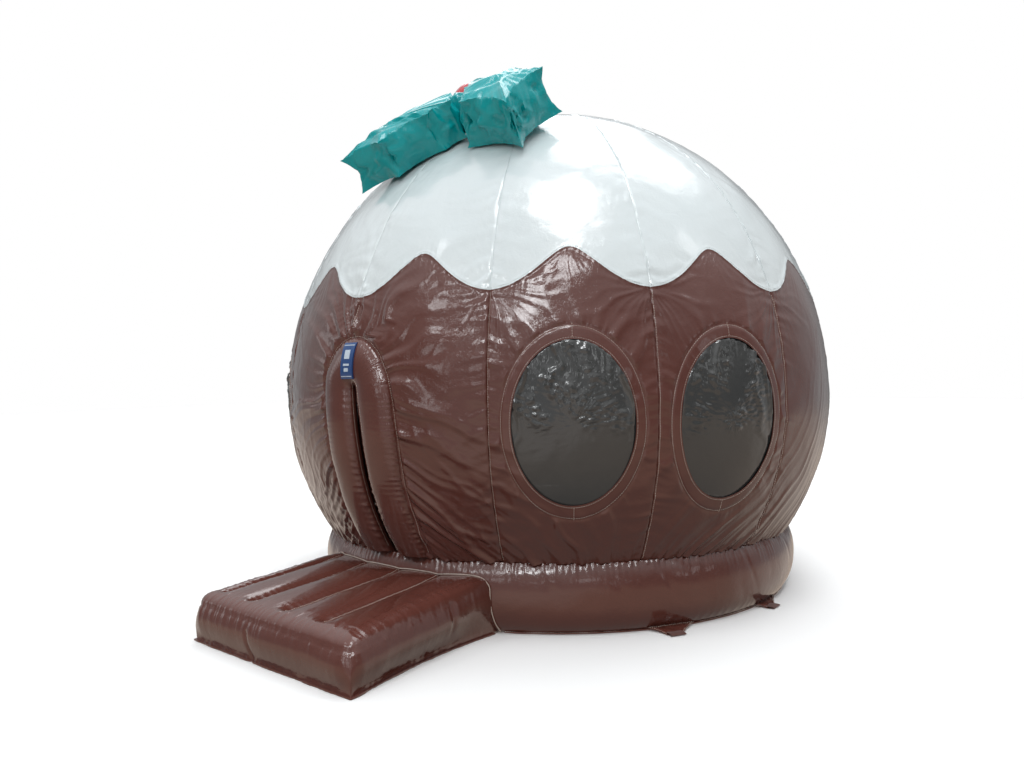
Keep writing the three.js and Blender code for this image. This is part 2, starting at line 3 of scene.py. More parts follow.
import bpy
import numpy as np
from mathutils import Matrix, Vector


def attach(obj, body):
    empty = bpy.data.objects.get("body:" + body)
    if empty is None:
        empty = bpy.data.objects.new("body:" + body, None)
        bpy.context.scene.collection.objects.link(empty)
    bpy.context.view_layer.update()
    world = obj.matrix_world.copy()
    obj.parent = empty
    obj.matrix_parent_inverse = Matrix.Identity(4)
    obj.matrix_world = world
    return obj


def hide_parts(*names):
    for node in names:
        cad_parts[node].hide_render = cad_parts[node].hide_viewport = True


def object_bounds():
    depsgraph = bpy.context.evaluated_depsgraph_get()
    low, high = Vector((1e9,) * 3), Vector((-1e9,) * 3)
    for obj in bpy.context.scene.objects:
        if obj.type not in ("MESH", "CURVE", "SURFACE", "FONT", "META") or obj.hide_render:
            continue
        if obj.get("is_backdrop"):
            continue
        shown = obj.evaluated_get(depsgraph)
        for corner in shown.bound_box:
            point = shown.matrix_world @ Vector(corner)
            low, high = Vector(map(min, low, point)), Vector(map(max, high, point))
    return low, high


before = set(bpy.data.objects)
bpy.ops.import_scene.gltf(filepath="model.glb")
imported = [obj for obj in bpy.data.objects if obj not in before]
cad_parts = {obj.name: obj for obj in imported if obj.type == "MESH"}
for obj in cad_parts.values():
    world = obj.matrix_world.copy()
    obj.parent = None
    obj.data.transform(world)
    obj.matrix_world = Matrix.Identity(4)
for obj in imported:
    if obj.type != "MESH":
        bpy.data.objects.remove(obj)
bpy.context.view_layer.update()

# ---- Brown gores ----------------------------------------------------------------------------
# The dome's lower skin: thirteen panels of PVC-coated polyester, sewn edge to edge and held
# round by the air inside. The thread draws the cloth into puckers along every seam, and long
# folds run out from the door, the windows and the neck, where the cloth is held back.

GORES = 13
GORE_ANGLE = 360 / GORES
SEAM_TURN = -2.5  # degrees from the door's centre line to the first seam
DOME_RADIUS = 2.25
WAIST_Z = 1.51
CROWN_RISE, LOWER_DROP = 2.36, 1.96
ARC = 2.28  # mean radius from the foot to the crown: metres of cloth for a radian of latitude
SEAM_DIP = 0.014  # how far the skin is drawn in at a seam, half as far in the icing
NECK_Z = 0.48
SCALLOP_LOW_Z, SCALLOP_PEAK_Z = 2.262, 2.526
SCALLOP_ROUNDING = 0.3
SKIN = 0.003  # two coats and the cloth between them, drawn thicker than the real 1 mm
WINDOW_GORES = (1, 2, 10, 11)
WINDOW_Z = 1.41
WINDOW_HALF_WIDTH, WINDOW_HALF_HEIGHT = 0.39, 0.522
WINDOW_MEAN = 0.455  # mean half size, which turns shares of it into metres
WINDOW_HEM = 0.080  # width of the doubled cloth round a window
DOOR_HALF_WIDTH, DOOR_BASE_HALF_WIDTH = 0.335, 0.305
DOOR_FOOT_Z, DOOR_ARCH_Z, DOOR_TOP_Z = 0.4803, 1.55, 1.985
DOOR_ARCH_MEAN = 0.385
DOOR_LEAN, DOOR_LEAN_START_Z = -0.065, 1.2
# Folds, each kind with its pitch, size, reach and a seed
SEAM_PUCKERS = ((0.125, 0.0060, 0.150, 13), (0.066, 0.0055, 0.060, 11), (0.031, 0.0030, 0.030, 12))
NECK_FOLDS = ((0.150, 0.018, 0.36, 21), (0.070, 0.009, 0.20, 23), (0.045, 0.006, 0.09, 22))
DOOR_FOLDS = (
    (0.190, 0.024, 0.52, 61),
    (0.088, 0.021, 0.42, 63),
    (0.048, 0.013, 0.28, 62),
    (0.027, 0.005, 0.09, 64),
)
SCALLOP_PUCKERS = (0.042, 0.003, 0.05, 31)
# and these with the number of folds round a window, or in the fan under a scallop's corner
WINDOW_FOLDS = ((74, 0.0042, 0.035, 51), (21, 0.012, 0.18, 52))
SCALLOP_FANS = ((15, 0.011, 0.26, 0.0), (13, 0.006, 0.17, 0.5))  # last: where across the gore
SLACK = ((0.9, 0.004, 1), (0.45, 0.0025, 2), (0.16, 0.0007, 3))  # unevenness: width, size, seed
HEM_RISE = 0.003  # how far doubled cloth stands up
# Grooves where a seam pulls the cloth in, each with its depth and width
SEAM_GROOVE, SCALLOP_GROOVE = (0.006, 0.010), (0.004, 0.010)
WINDOW_GROOVE, DOOR_GROOVE = (0.004, 0.009), (0.006, 0.015)


def linear(colour):
    """A hex sRGB colour as linear RGBA."""
    parts = [(colour >> shift & 255) / 255 for shift in (16, 8, 0)]
    return [p / 12.92 if p <= 0.04045 else ((p + 0.055) / 1.055) ** 2.4 for p in parts] + [1.0]


def add_node(tree, kind, sockets=None, **settings):
    """Adds a shader node. sockets maps an input's name or number to a value, or to what it is
    linked to: an output, or a node for its first output."""
    node = tree.nodes.new("ShaderNode" + kind)
    for name, value in settings.items():
        setattr(node, name, value)
    for key, value in (sockets or {}).items():
        if isinstance(value, bpy.types.Node):
            value = value.outputs[0]
        if isinstance(value, bpy.types.NodeSocket):
            tree.links.new(value, node.inputs[key])
        else:
            node.inputs[key].default_value = value
    return node


def start_finish(name, light, dark, scale, detail):
    """A new material whose colour drifts between two shades, in patches of 1 / scale metres."""
    material = bpy.data.materials.new(name)
    material.use_nodes = True
    tree = material.node_tree
    tree.nodes.clear()
    place = add_node(tree, "TexCoord").outputs["Object"]
    patches = add_node(tree, "TexNoise", {"Vector": place, "Scale": scale, "Detail": detail})
    shades = {"Factor": patches, 6: linear(dark), 7: linear(light)}
    tint = add_node(tree, "Mix", shades, data_type="RGBA").outputs[2]
    return material, tree, place, tint


def coated_cloth(name, light, dark, roughness=0.10, grain=0.35, crinkle=1.0, gloss=0.5):
    """PVC-coated polyester: knife-coated and pressed smooth, so it has a wet gloss (PVC, IOR
    1.53). The cloth underneath shows as a faint grid, and handling leaves soft creases. The
    weave's real pitch is 1 mm, and it is drawn at 9 mm, so that it shows at all."""
    material, tree, place, tint = start_finish(name, light, dark, 1.6, 5.0)
    dust = add_node(tree, "TexNoise", {"Vector": place, "Scale": 7.0, "Detail": 8.0})
    span = {1: 0.35, 2: 0.75, 3: roughness * 0.7, 4: roughness * 1.6}
    wear = add_node(tree, "MapRange", {"Value": dust, **span})
    relief = {}
    # soft creases, then sharp ones, then the weave
    for scale, detail, rough, bend, strength, depth in (
        (8.0, 3.0, 0.45, 0.8, 0.5, 0.007 * crinkle),
        (34.0, 2.0, 0.5, 2.2, 0.5, 0.0022 * crinkle),
        (110.0, 1.0, 0.5, 0.0, grain, 0.0006),
    ):
        grid = {"Vector": place, "Scale": scale, "Detail": detail, "Roughness": rough}
        height = add_node(tree, "TexNoise", {**grid, "Distortion": bend})
        bump = {"Height": height, "Strength": strength, "Distance": depth}
        relief = {"Normal": add_node(tree, "Bump", {**bump, **relief})}
    surface = {"Base Color": tint, "Roughness": wear, "IOR": 1.53, **relief}
    coat = {"Coat Weight": gloss, "Coat Roughness": 0.03, "Coat IOR": 1.5}
    shader = add_node(tree, "BsdfPrincipled", {**surface, **coat})
    add_node(tree, "OutputMaterial", {"Surface": shader})
    return material


def grid_faces(rows, columns, wrap=False):
    """Quads over rows of points. wrap joins each row's last point to its first."""
    i = np.arange(rows - 1)[:, None] * columns
    j = np.arange(columns if wrap else columns - 1)[None, :]
    k = (j + 1) % columns
    quads = np.broadcast_arrays(i + j, i + k, i + k + columns, i + j + columns)
    return np.stack(quads, -1).reshape(-1, 4)


def loop_faces(first, second):
    """Quads between two closed loops of point numbers."""
    return np.stack([first, np.roll(first, -1), np.roll(second, -1), second], -1)


def fan_faces(loop, centre):
    """Triangles from a closed loop of point numbers to one point."""
    return np.stack([loop, np.roll(loop, -1), 0 * loop + centre], -1)


def grid_loop(rows, columns):
    """The point numbers once round the edge of a grid."""
    at = np.arange(rows * columns).reshape(rows, columns)
    return np.concatenate([at[0, :-1], at[:-1, -1], at[-1, :0:-1], at[:0:-1, 0]])


def unit(vectors):
    """The vectors at a length of one."""
    return vectors / np.linalg.norm(vectors, axis=-1, keepdims=True)


def make_piece(name, points, faces, material, slot, nodes=(), crease=None):
    """A closed mesh from points and faces, which rides on the object. Edges sharper than
    crease, in degrees, stay sharp."""
    faces = [list(map(int, face)) for face in faces]
    tri = np.array([(f[0], f[i], f[i + 1]) for f in faces for i in range(1, len(f) - 1)])
    a, b, c = (points[tri[:, k]] for k in range(3))
    if (a * np.cross(b, c)).sum() < 0:
        faces = [face[::-1] for face in faces]
    mesh = bpy.data.meshes.new(name)
    mesh.from_pydata(points.tolist(), [], faces)
    mesh.shade_smooth()
    if crease:
        mesh.set_sharp_from_angle(angle=math.radians(crease))
    mesh.materials.append(material)
    piece = bpy.data.objects.new(name, mesh)
    bpy.context.scene.collection.objects.link(piece)
    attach(piece, "root")
    if nodes:
        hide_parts(*nodes)
    return piece


COARSER = 4  # the back of a sheet has every fourth point of its front


def lowest_near(relief, wrap):
    """The lowest relief round each point, as far as the next point of the back."""
    rows, columns = relief.shape
    wide = np.pad(relief, ((COARSER, COARSER), (0, 0)), mode="edge")
    wide = np.pad(wide, ((0, 0), (COARSER, COARSER)), mode="wrap" if wrap else "edge")
    steps = range(0, 2 * COARSER + 1, 2)
    return np.min([wide[i : i + rows, j : j + columns] for i in steps for j in steps], axis=0)


def thin_sheet(name, outer, inner, wrap, *finish, filled=False, crease=50):
    """A sheet of cloth: the grid of points on its front, and every fourth of them on its back.
    Wrapped, it goes round a hole, which is closed at its last row if the sheet is filled."""
    inner = inner[::COARSER, ::COARSER]
    (rows, columns), (back_rows, back_columns) = outer.shape[:2], inner.shape[:2]
    count = rows * columns
    total = count + back_rows * back_columns
    points = [outer.reshape(-1, 3), inner.reshape(-1, 3)]
    back = grid_faces(back_rows, back_columns, wrap)[:, ::-1] + count
    faces = [*grid_faces(rows, columns, wrap), *back]
    rims = [(grid_loop(rows, columns), grid_loop(back_rows, back_columns) + count, 1)]
    if wrap:
        fine, coarse = np.arange(columns), np.arange(back_columns)
        last, back_last = fine + count - columns, coarse + total - back_columns
        rims = [(fine, coarse + count, 1), (last, back_last, -1)]
    if filled:
        rims.pop()
        faces.extend([*fan_faces(last, total), *fan_faces(back_last, total + 1)[:, ::-1]])
        points.extend([outer[-1:].mean(1), inner[-1:].mean(1)])
    for fine, coarse, turn in rims:
        fine, coarse = np.append(fine, fine[0]), np.append(coarse, coarse[0])
        for i in range(len(coarse) - 1):
            near = fine[i * COARSER : (i + 1) * COARSER + 1]
            faces.append([*near[::-1], coarse[i], coarse[i + 1]][::turn])
    return make_piece(name, np.concatenate(points), faces, *finish, crease=crease)


def humps(points, size, seed, count=16):
    """A soft random field of about -1 to 1, whose humps are about one size apart."""
    rng = np.random.default_rng(seed)
    directions = unit(rng.normal(size=(count, 3)))
    directions *= 2 * np.pi / size * rng.uniform(0.6, 1.5, (count, 1))
    start = rng.uniform(0, 2 * np.pi, count)
    return np.sin(points @ directions.T + start).sum(-1) / math.sqrt(2 * count)


def ridge(phase, sharpness=2.0):
    """Folds from 0 to 1: narrow ridges with wide hollows between them."""
    return (0.5 + 0.5 * np.cos(phase)) ** sharpness


def chance(phase, seed, count=None):
    """A share from 0 to 1 for each fold. Folds lie at the whole numbers of phase; count is how
    many there are once round a ring."""
    fold = np.round(phase) if count is None else np.round(phase) % count
    return np.abs(np.sin(fold * 12.9898 + seed) * 43758.5453) % 1


def pleats(phase, seed, sharpness=2.0, count=None):
    """Folds side by side, no two alike in height."""
    return (0.15 + 0.85 * chance(phase, seed, count)) * ridge(2 * np.pi * phase, sharpness)


def edge_folds(phase, away, reach, least, spread, seeds, sharpness, count=None):
    """Folds side by side that start at an edge. Each dies out over a distance of its own, of at
    least that share of the reach, and up to spread more."""
    own = chance(phase, seeds[0], count)
    held = np.exp(-away / (reach * (least + spread * own)))
    return held * pleats(phase, seeds[1], sharpness, count)


def groove(distance, depth, width):
    """How deep the cloth lies at a distance from the middle of a groove."""
    return depth * np.exp(-np.abs(distance) / width)


def smoothstep(x, low, high):
    share = np.clip((x - low) / (high - low), 0, 1)
    return share * share * (3 - 2 * share)


def half_height(latitude):
    return np.where(latitude > 0, CROWN_RISE, LOWER_DROP)


def latitude_at(z):
    rise = np.asarray(z) - WAIST_Z
    return np.degrees(np.arcsin(rise / half_height(rise)))


def radius_at(latitude):
    return DOME_RADIUS * np.cos(np.radians(latitude))


def azimuth_at(x, latitude):
    return np.degrees(np.arcsin(x / radius_at(latitude)))


def turns(count):
    """Angles once round, in one row."""
    return np.linspace(0, 2 * np.pi, count, endpoint=False)[None, :]


def round_axis(turn, radius, z):
    """Points round the dome's axis. turn is in radians, from the door towards +X."""
    return np.stack([radius * np.sin(turn), -radius * np.cos(turn), z + 0 * turn], -1)


def dome_point(azimuth, latitude, proud=0.0):
    """Points on the dome, and proud of it, in metres."""
    height = half_height(latitude)
    cos, sin = np.cos(np.radians(latitude)), np.sin(np.radians(latitude))
    slope_r, slope_z = cos / DOME_RADIUS, sin / height
    length = np.hypot(slope_r, slope_z)
    across = ((azimuth - SEAM_TURN) / GORE_ANGLE) % 1
    dip = SEAM_DIP * cos * (1 - 0.5 * smoothstep(latitude, 15, 45))
    out = proud - dip * (2 * across - 1) ** 2
    radius = DOME_RADIUS * cos + out * slope_r / length
    return round_axis(np.radians(azimuth), radius, WAIST_Z + height * sin + out * slope_z / length)


def scallop_latitude(across):
    wave = np.hypot(np.cos(np.pi * across), SCALLOP_ROUNDING)
    most = math.hypot(1, SCALLOP_ROUNDING)
    share = (most - wave) / (most - SCALLOP_ROUNDING)
    return latitude_at(SCALLOP_LOW_Z + (SCALLOP_PEAK_Z - SCALLOP_LOW_Z) * share)


def gore_middle(gore):
    return SEAM_TURN + (gore + 0.5) * GORE_ANGLE


def window_place(gore, azimuth, z, radius):
    """Distance out from a window's edge, and the direction from its middle."""
    turn = np.radians(azimuth - gore_middle(gore))
    across = radius * np.sin(turn) / WINDOW_HALF_WIDTH
    up = (z - WINDOW_Z) / WINDOW_HALF_HEIGHT
    out = (np.hypot(across, up) - 1) * WINDOW_MEAN
    return np.where(np.cos(turn) > 0.5, out, 9.0), np.arctan2(up, across)


def window_spot(gore, direction, reach):
    """Azimuth and latitude in a direction from a window's middle. reach is 1 at its edge."""
    latitude = latitude_at(WINDOW_Z + WINDOW_HALF_HEIGHT * reach * np.sin(direction))
    turned = azimuth_at(WINDOW_HALF_WIDTH * reach * np.cos(direction), latitude)
    return gore_middle(gore) + turned, latitude


def door_centre(z):
    return DOOR_LEAN * smoothstep(z, DOOR_LEAN_START_Z, DOOR_TOP_Z)


def door_place(x, z):
    """Distance out from the door's outer edge, and the way along it from its top, in metres."""
    aside = x - door_centre(z)
    share, rise = aside / DOOR_HALF_WIDTH, (z - DOOR_ARCH_Z) / (DOOR_TOP_Z - DOOR_ARCH_Z)
    above = z > DOOR_ARCH_Z
    arch_out, leg_out = (np.hypot(share, rise) - 1) * DOOR_ARCH_MEAN, np.abs(aside) - DOOR_HALF_WIDTH
    on_arch = np.abs(np.arctan2(share, rise)) * DOOR_ARCH_MEAN
    on_leg = DOOR_ARCH_MEAN * np.pi / 2 + DOOR_ARCH_Z - z
    return np.where(above, arch_out, leg_out), np.where(above, on_arch, on_leg) * np.sign(aside)


def skin_relief(azimuth, latitude):
    """How far the skin stands off its smooth form, in metres."""
    smooth = dome_point(azimuth, latitude)
    z, radius = smooth[..., 2], radius_at(latitude)
    across = ((azimuth - SEAM_TURN) / GORE_ANGLE) % 1
    side = np.where(across < 0.5, 1, -1)
    from_seam = np.minimum(across, 1 - across) * math.radians(GORE_ANGLE) * radius
    up = ARC * np.radians(latitude)
    fields = [humps(smooth, width, seed) for width, size, seed in SLACK]
    relief = sum(size * field for (width, size, seed), field in zip(SLACK, fields))
    slow, drift = fields[:2]
    from_edge = up - ARC * np.radians(scallop_latitude(across))
    in_icing = smoothstep(from_edge, -0.001, 0.03)
    # the seams between gores: puckers of three sizes, which slant away from the thread
    seam = np.round((azimuth - SEAM_TURN) / GORE_ANGLE)
    off_thread = 1 - np.exp(-from_seam / 0.006)
    off_middle = smoothstep(np.abs(across - 0.5), 0.0, 0.12)
    for pitch, size, reach, seed in SEAM_PUCKERS:
        phase = (up + 0.3 * from_seam) / pitch + 0.45 * drift + 0.31 * side
        seeds = seed + seam, seed + 2 * seam + side
        held = (1 + 0.5 * in_icing) * off_thread * off_middle
        relief += size * held * edge_folds(phase, from_seam, reach, 0.4, 1.2, seeds, 1.6)
    relief -= groove(from_seam, *SEAM_GROOVE) * (1 - 0.9 * in_icing)
    # folds out of the neck, which lean one way and then the other
    above = np.maximum(z - NECK_Z, 0)
    lean = 0.95 * np.sin(np.radians(azimuth) * 3.0 + 0.6)
    around = np.radians(azimuth) * 1.9 + lean * above
    for pitch, size, reach, seed in NECK_FOLDS:
        phase = around / pitch + 0.35 * drift
        relief += size * edge_folds(phase, above, reach, 0.3, 1.2, (seed, seed + 5), 2.6)
    # the scalloped seam: a turned hem on the icing, puckers, and fans of creases from its corners
    pitch, size, reach, seed = SCALLOP_PUCKERS
    phase = np.radians(azimuth) * radius / pitch + 0.5 * drift
    relief += size * np.exp(-np.abs(from_edge) / reach) * pleats(phase, seed)
    hem = HEM_RISE * (1 - smoothstep(from_edge, 0.018, 0.028))
    relief += np.where(from_edge > -1e-6, hem, -groove(from_edge, *SCALLOP_GROOVE))
    for folds, size, reach, corner in SCALLOP_FANS:
        height = ARC * np.radians(scallop_latitude(np.array(corner)))
        sideways = across - corner if corner else np.minimum(across, 1 - across) * side
        sideways = sideways * math.radians(GORE_ANGLE) * radius
        away = np.hypot(sideways, up - height)
        whose = np.floor((azimuth - SEAM_TURN) / GORE_ANGLE) if corner else seam
        over = np.where(from_edge > 0, up - height, height - up)
        phase = (np.arctan2(sideways, over) + 0.12 * drift) * folds / np.pi + 0.3 * slow + 0.37 * whose
        held = away / (away + 0.05) * (1 if corner else off_middle) * (1 - 0.6 * in_icing)
        seeds = 41 + whose, 43 + whose
        relief += size * held * edge_folds(phase, away, reach, 0.35, 1, seeds, 2.4)
    # the windows: a doubled hem between two rows of stitches, and folds that run out from it
    for gore in WINDOW_GORES:
        out, direction = window_place(gore, azimuth, z, radius)
        hem = out - WINDOW_HEM
        relief += HEM_RISE * smoothstep(-hem, 0, 0.02) - groove(hem, *WINDOW_GROOVE)
        for folds, size, reach, seed in WINDOW_FOLDS:
            phase = direction * folds / (2 * np.pi) + 0.3 * drift
            fan = phase, np.maximum(hem, 0), reach, 0.35, 1, (seed + gore, seed + gore + 3), 2, folds
            relief += size * smoothstep(hem, 0, 0.02) * edge_folds(*fan)
    # the door: folds that leave its tube square to it and then droop
    out, along = door_place(smooth[..., 0], z)
    out = np.where(smooth[..., 1] < 0, out, 9.0)
    beyond = np.maximum(out, 0)
    rooted = np.abs(along)
    for _ in range(5):
        rooted = np.abs(along) - (0.10 + 0.85 * smoothstep(rooted, 0.2, 1.5)) * beyond
    for pitch, size, reach, seed in DOOR_FOLDS:
        phase = rooted / pitch + 0.14 * drift / math.sqrt(pitch)
        seeds = seed + np.sign(along), seed + 2 * np.sign(along)
        held = smoothstep(out, 0, 0.05)
        relief += size * held * edge_folds(phase, beyond, reach, 0.3, 1.1, seeds, 2.8)
    return relief - groove(out, *DOOR_GROOVE)


def skin_faces(azimuth, latitude, wrap=False):
    """The outer and the inner face of the skin."""
    relief = skin_relief(azimuth, latitude)
    inner = lowest_near(relief, wrap) - SKIN
    return dome_point(azimuth, latitude, relief), dome_point(azimuth, latitude, inner)


GORE_COLUMNS, BACK_GORE_COLUMNS = 104, 60
BACK_GORES = range(4, 9)
BROWN_ROWS = 144
WINDOW_RINGS = 48
TUCKED_IN = 0.03  # how far the cloth reaches in behind the door's tube


def door_edge(z, side):
    """Azimuth where a brown gore ends at the door, at a height."""
    rise = np.clip((z - DOOR_ARCH_Z) / (DOOR_TOP_Z - DOOR_ARCH_Z + 1e-9), 0, 1)
    low = np.clip((DOOR_ARCH_Z - z) / (DOOR_ARCH_Z - DOOR_FOOT_Z), 0, 1)
    half = np.where(z > DOOR_ARCH_Z, DOOR_HALF_WIDTH * np.sqrt(1 - rise**2), DOOR_HALF_WIDTH)
    half = half - (DOOR_HALF_WIDTH - DOOR_BASE_HALF_WIDTH) * low**2 - TUCKED_IN
    edge = azimuth_at(door_centre(z) + side * np.maximum(half, 0), latitude_at(z))
    return np.where(z < DOOR_TOP_Z - TUCKED_IN, edge, -side * 999)


def gore_grid(gore, rows, lowest, highest, crowding=1.0):
    """Azimuth and latitude of a grid over one gore, between two latitude lines. Its rows crowd
    towards the lower line."""
    columns = BACK_GORE_COLUMNS if gore in BACK_GORES else GORE_COLUMNS
    across = np.linspace(0, 1, columns + 1)[None, :]
    up = np.linspace(0, 1, rows + 1)[:, None] ** crowding
    latitude = lowest(across) * (1 - up) + highest(across) * up
    azimuth = SEAM_TURN + (gore + across + 0 * up) * GORE_ANGLE
    return azimuth, latitude


pudding_pvc = coated_cloth("pudding_brown_pvc", 0x64382F, 0x573029)
neck_latitude = latitude_at(NECK_Z)
for gore in range(GORES):
    has_window = gore in WINDOW_GORES
    azimuth, latitude = gore_grid(gore, BROWN_ROWS, lambda a: neck_latitude + 0 * a, scallop_latitude)
    if gore in (0, GORES - 1):
        first, last = azimuth[:, :1], azimuth[:, -1:]
        z = dome_point(azimuth, latitude)[..., 2]
        if gore == 0:
            first = np.maximum(first, door_edge(z[:, :1], 1))
        else:
            last = np.minimum(last, door_edge(z[:, -1:], -1) + 360)
        azimuth = first + (last - first) * np.linspace(0, 1, GORE_COLUMNS + 1)
    if has_window:
        edge = grid_loop(*azimuth.shape)
        edge_azimuth, edge_latitude = azimuth.ravel()[edge], latitude.ravel()[edge]
        edge_point = dome_point(edge_azimuth, edge_latitude)
        radius = np.hypot(edge_point[:, 0], edge_point[:, 1])
        direction = window_place(gore, edge_azimuth, edge_point[:, 2], radius)[1]
        oval_azimuth, oval_latitude = window_spot(gore, direction, 1)
        out = (np.linspace(0, 1, WINDOW_RINGS + 1) ** 1.25)[:, None]
        azimuth = oval_azimuth + (edge_azimuth - oval_azimuth) * out
        latitude = oval_latitude + (edge_latitude - oval_latitude) * out
    outer, inner = skin_faces(azimuth, latitude, has_window)
    finish = pudding_pvc, "brown_pvc", [f"skin_panel_{gore + 1:02d}"]
    panel = thin_sheet(f"brown_gore_{gore + 1:02d}", outer, inner, has_window, *finish)

# ---- White gores and crown disc -------------------------------------------------------------
# The icing: thirteen white panels of the same cloth, each with a scalloped lower edge that is
# lapped over its brown gore and sewn down. A round patch closes the hole where they meet.

CROWN_DISC_LATITUDE = 87
ICING_ROWS = 72
DISC_RINGS, DISC_SIDES = 9, 8 * GORES
icing_pvc = coated_cloth("icing_white_pvc", 0xDCE3E4, 0xD1DBDD, crinkle=0.9)
for gore in range(GORES):
    highest = lambda a: CROWN_DISC_LATITUDE + 0 * a
    azimuth, latitude = gore_grid(gore, ICING_ROWS, scallop_latitude, highest, crowding=1.4)
    outer, inner = skin_faces(azimuth, latitude)
    finish = icing_pvc, "icing_pvc", [f"icing_panel_{gore + 1:02d}"]
    panel = thin_sheet(f"white_gore_{gore + 1:02d}", outer, inner, False, *finish)

turn = np.arange(DISC_SIDES) * 360 / DISC_SIDES
latitude = np.linspace(CROWN_DISC_LATITUDE - 0.15, 89.985, DISC_RINGS)[:, None] + 0 * turn
disc_faces = [dome_point(turn + 0 * latitude, latitude, proud) for proud in (SKIN, 0.0)]
thin_sheet("crown_disc_cover", *disc_faces, True, icing_pvc, "icing_pvc", ["crown_disc"])

# ---- Windows --------------------------------------------------------------------------------
# Four oval panes of clear vinyl film, smoke-tinted, sewn in behind the doubled hem. The film
# has been rolled up in storage, so it is creased, most of all under its upper edge.

FILM_RINGS, FILM_SIDES = 41, 240
FILM_LAP = 1.012
FILM_BACK = -0.012
FILM_SET_BACK = 0.007
FILM_FOLDS = ((0.105, 0.026, 0.16, 1), (0.043, 0.010, 0.07, 2))  # pitch, size, drop and seed
FILM_CREASES = ((0.110, 2.0, 20), (0.055, 2.4, 24), (0.030, 1.5, 28))  # size, how flat, seed

# Plasticised vinyl (IOR 1.54), cast between rollers: clear and glossy, with a smoke tint
film_pvc, tree, place, tint = start_finish("smoked_vinyl_film", 0x4E4E4C, 0x353738, 2.4, 4.0)
rumple = add_node(tree, "TexNoise", {"Vector": place, "Scale": 11.0, "Detail": 2.0, "Distortion": 1.2})
rumpled = add_node(tree, "Bump", {"Height": rumple, "Strength": 0.4, "Distance": 0.003})
surface = {"Base Color": tint, "Roughness": 0.06, "IOR": 1.54, "Alpha": 0.86, "Normal": rumpled}
coat = {"Coat Weight": 1.0, "Coat Roughness": 0.03}
film = add_node(tree, "BsdfPrincipled", {**surface, **coat})
add_node(tree, "OutputMaterial", {"Surface": film})

direction = turns(FILM_SIDES)
reach = np.linspace(1, 0.02, FILM_RINGS)[:, None] * FILM_LAP
aside = WINDOW_HALF_WIDTH * reach * np.cos(direction)
rise = WINDOW_HALF_HEIGHT * reach * np.sin(direction)
top = WINDOW_HALF_HEIGHT * np.sqrt(np.clip(1 - (aside / WINDOW_HALF_WIDTH) ** 2, 0, 1))
below = top - rise
hung = smoothstep(reach, 1.0, 0.985)
for gore in WINDOW_GORES:
    azimuth, latitude = window_spot(gore, direction, reach)
    flat = dome_point(azimuth, latitude)
    wander = humps(flat, 0.25, 30 + gore)
    proud = 0.006 * (1 - reach**2) - FILM_SET_BACK
    for pitch, size, drop, seed in FILM_FOLDS:
        phase = aside * (1 - 0.5 * below) / pitch + 0.35 * wander
        seeds = seed + gore, seed + gore
        proud = proud + size * hung * edge_folds(phase, below, drop, 0.3, 1.4, seeds, 1.8)
    creased = sum(
        size * np.abs(humps(flat * (1, 1, lie), size, seed + gore)) for size, lie, seed in FILM_CREASES
    )
    band = smoothstep(rise, -0.20, 0.06) * np.clip(0.55 + 0.9 * wander, 0.12, 1.2)
    proud = proud + 0.085 * creased * (0.04 + 0.96 * band) * hung
    proud = np.where(reach > 1, -FILM_SET_BACK, proud)
    outer, inner = (dome_point(azimuth, latitude, level) for level in (proud, FILM_BACK + 0 * proud))
    finish = film_pvc, "clear_film", [f"window_pane_{gore + 1:02d}"]
    name = f"window_film_{gore + 1:02d}"
    pane = thin_sheet(name, outer, inner, True, *finish, filled=True, crease=60)

# ---- Thread in the dome ---------------------------------------------------------------------
# Pale bonded polyester thread, in lock stitch: one row beside every seam, one in the icing's
# hem, and two round each window, joined by a short row at its top and bottom.

STITCH_PITCH = 0.016  # really 5 mm, drawn coarse so that single stitches show
STITCH_LENGTH, STITCH_WIDTH, WHITE_STITCH_WIDTH = 0.0115, 0.0038, 0.0030
STITCH_SINK = 0.002
LIFT = 0.01
SEAM_MARGIN = 0.008
HEM_MARGIN = 0.36  # degrees of latitude
BOX_SIDES = [(0, 1, 5, 4), (1, 2, 6, 5), (2, 3, 7, 6), (3, 0, 4, 7)]
BOX_FACES = np.array([(3, 2, 1, 0), (4, 5, 6, 7), *BOX_SIDES])


def polyester(name, light, dark, patches, relief, roughness, sheen):
    """Polyester fibre (IOR 1.58), dull and a little fuzzy. patches are the scale and detail of
    its soiling, and relief the height, strength and depth of its twist or weave."""
    material, tree, place, tint = start_finish(name, light, dark, *patches)
    kind, settings, output, strength, depth = relief
    height = add_node(tree, kind, {"Vector": place, **settings}).outputs[output]
    bump = add_node(tree, "Bump", {"Height": height, "Strength": strength, "Distance": depth})
    surface = {"Base Color": tint, "Roughness": roughness, "IOR": 1.58, "Normal": bump}
    fibre = add_node(tree, "BsdfPrincipled", {**surface, "Sheen Weight": sheen})
    add_node(tree, "OutputMaterial", {"Surface": fibre})
    return material


twist = ("TexNoise", {"Scale": 600.0, "Detail": 1.0}, "Fac", 0.4, 0.0004)
thread = polyester("pale_polyester_thread", 0xD6C8BC, 0x9C8578, (5.0, 4.0), twist, 0.6, 0.2)
white_thread = polyester("white_polyester_thread", 0xC8D1D4, 0xB0BBBE, (5.0, 4.0), twist, 0.6, 0.2)


def run_along(line):
    """How far along a line each of its points lies."""
    return np.append(0, np.cumsum(np.linalg.norm(np.diff(line, axis=0), axis=1)))


def spots_along(spots, run, line):
    """The points of a line at some distances, where its own points are at the distances run."""
    return np.stack([np.interp(spots, run, column) for column in line.T], -1)


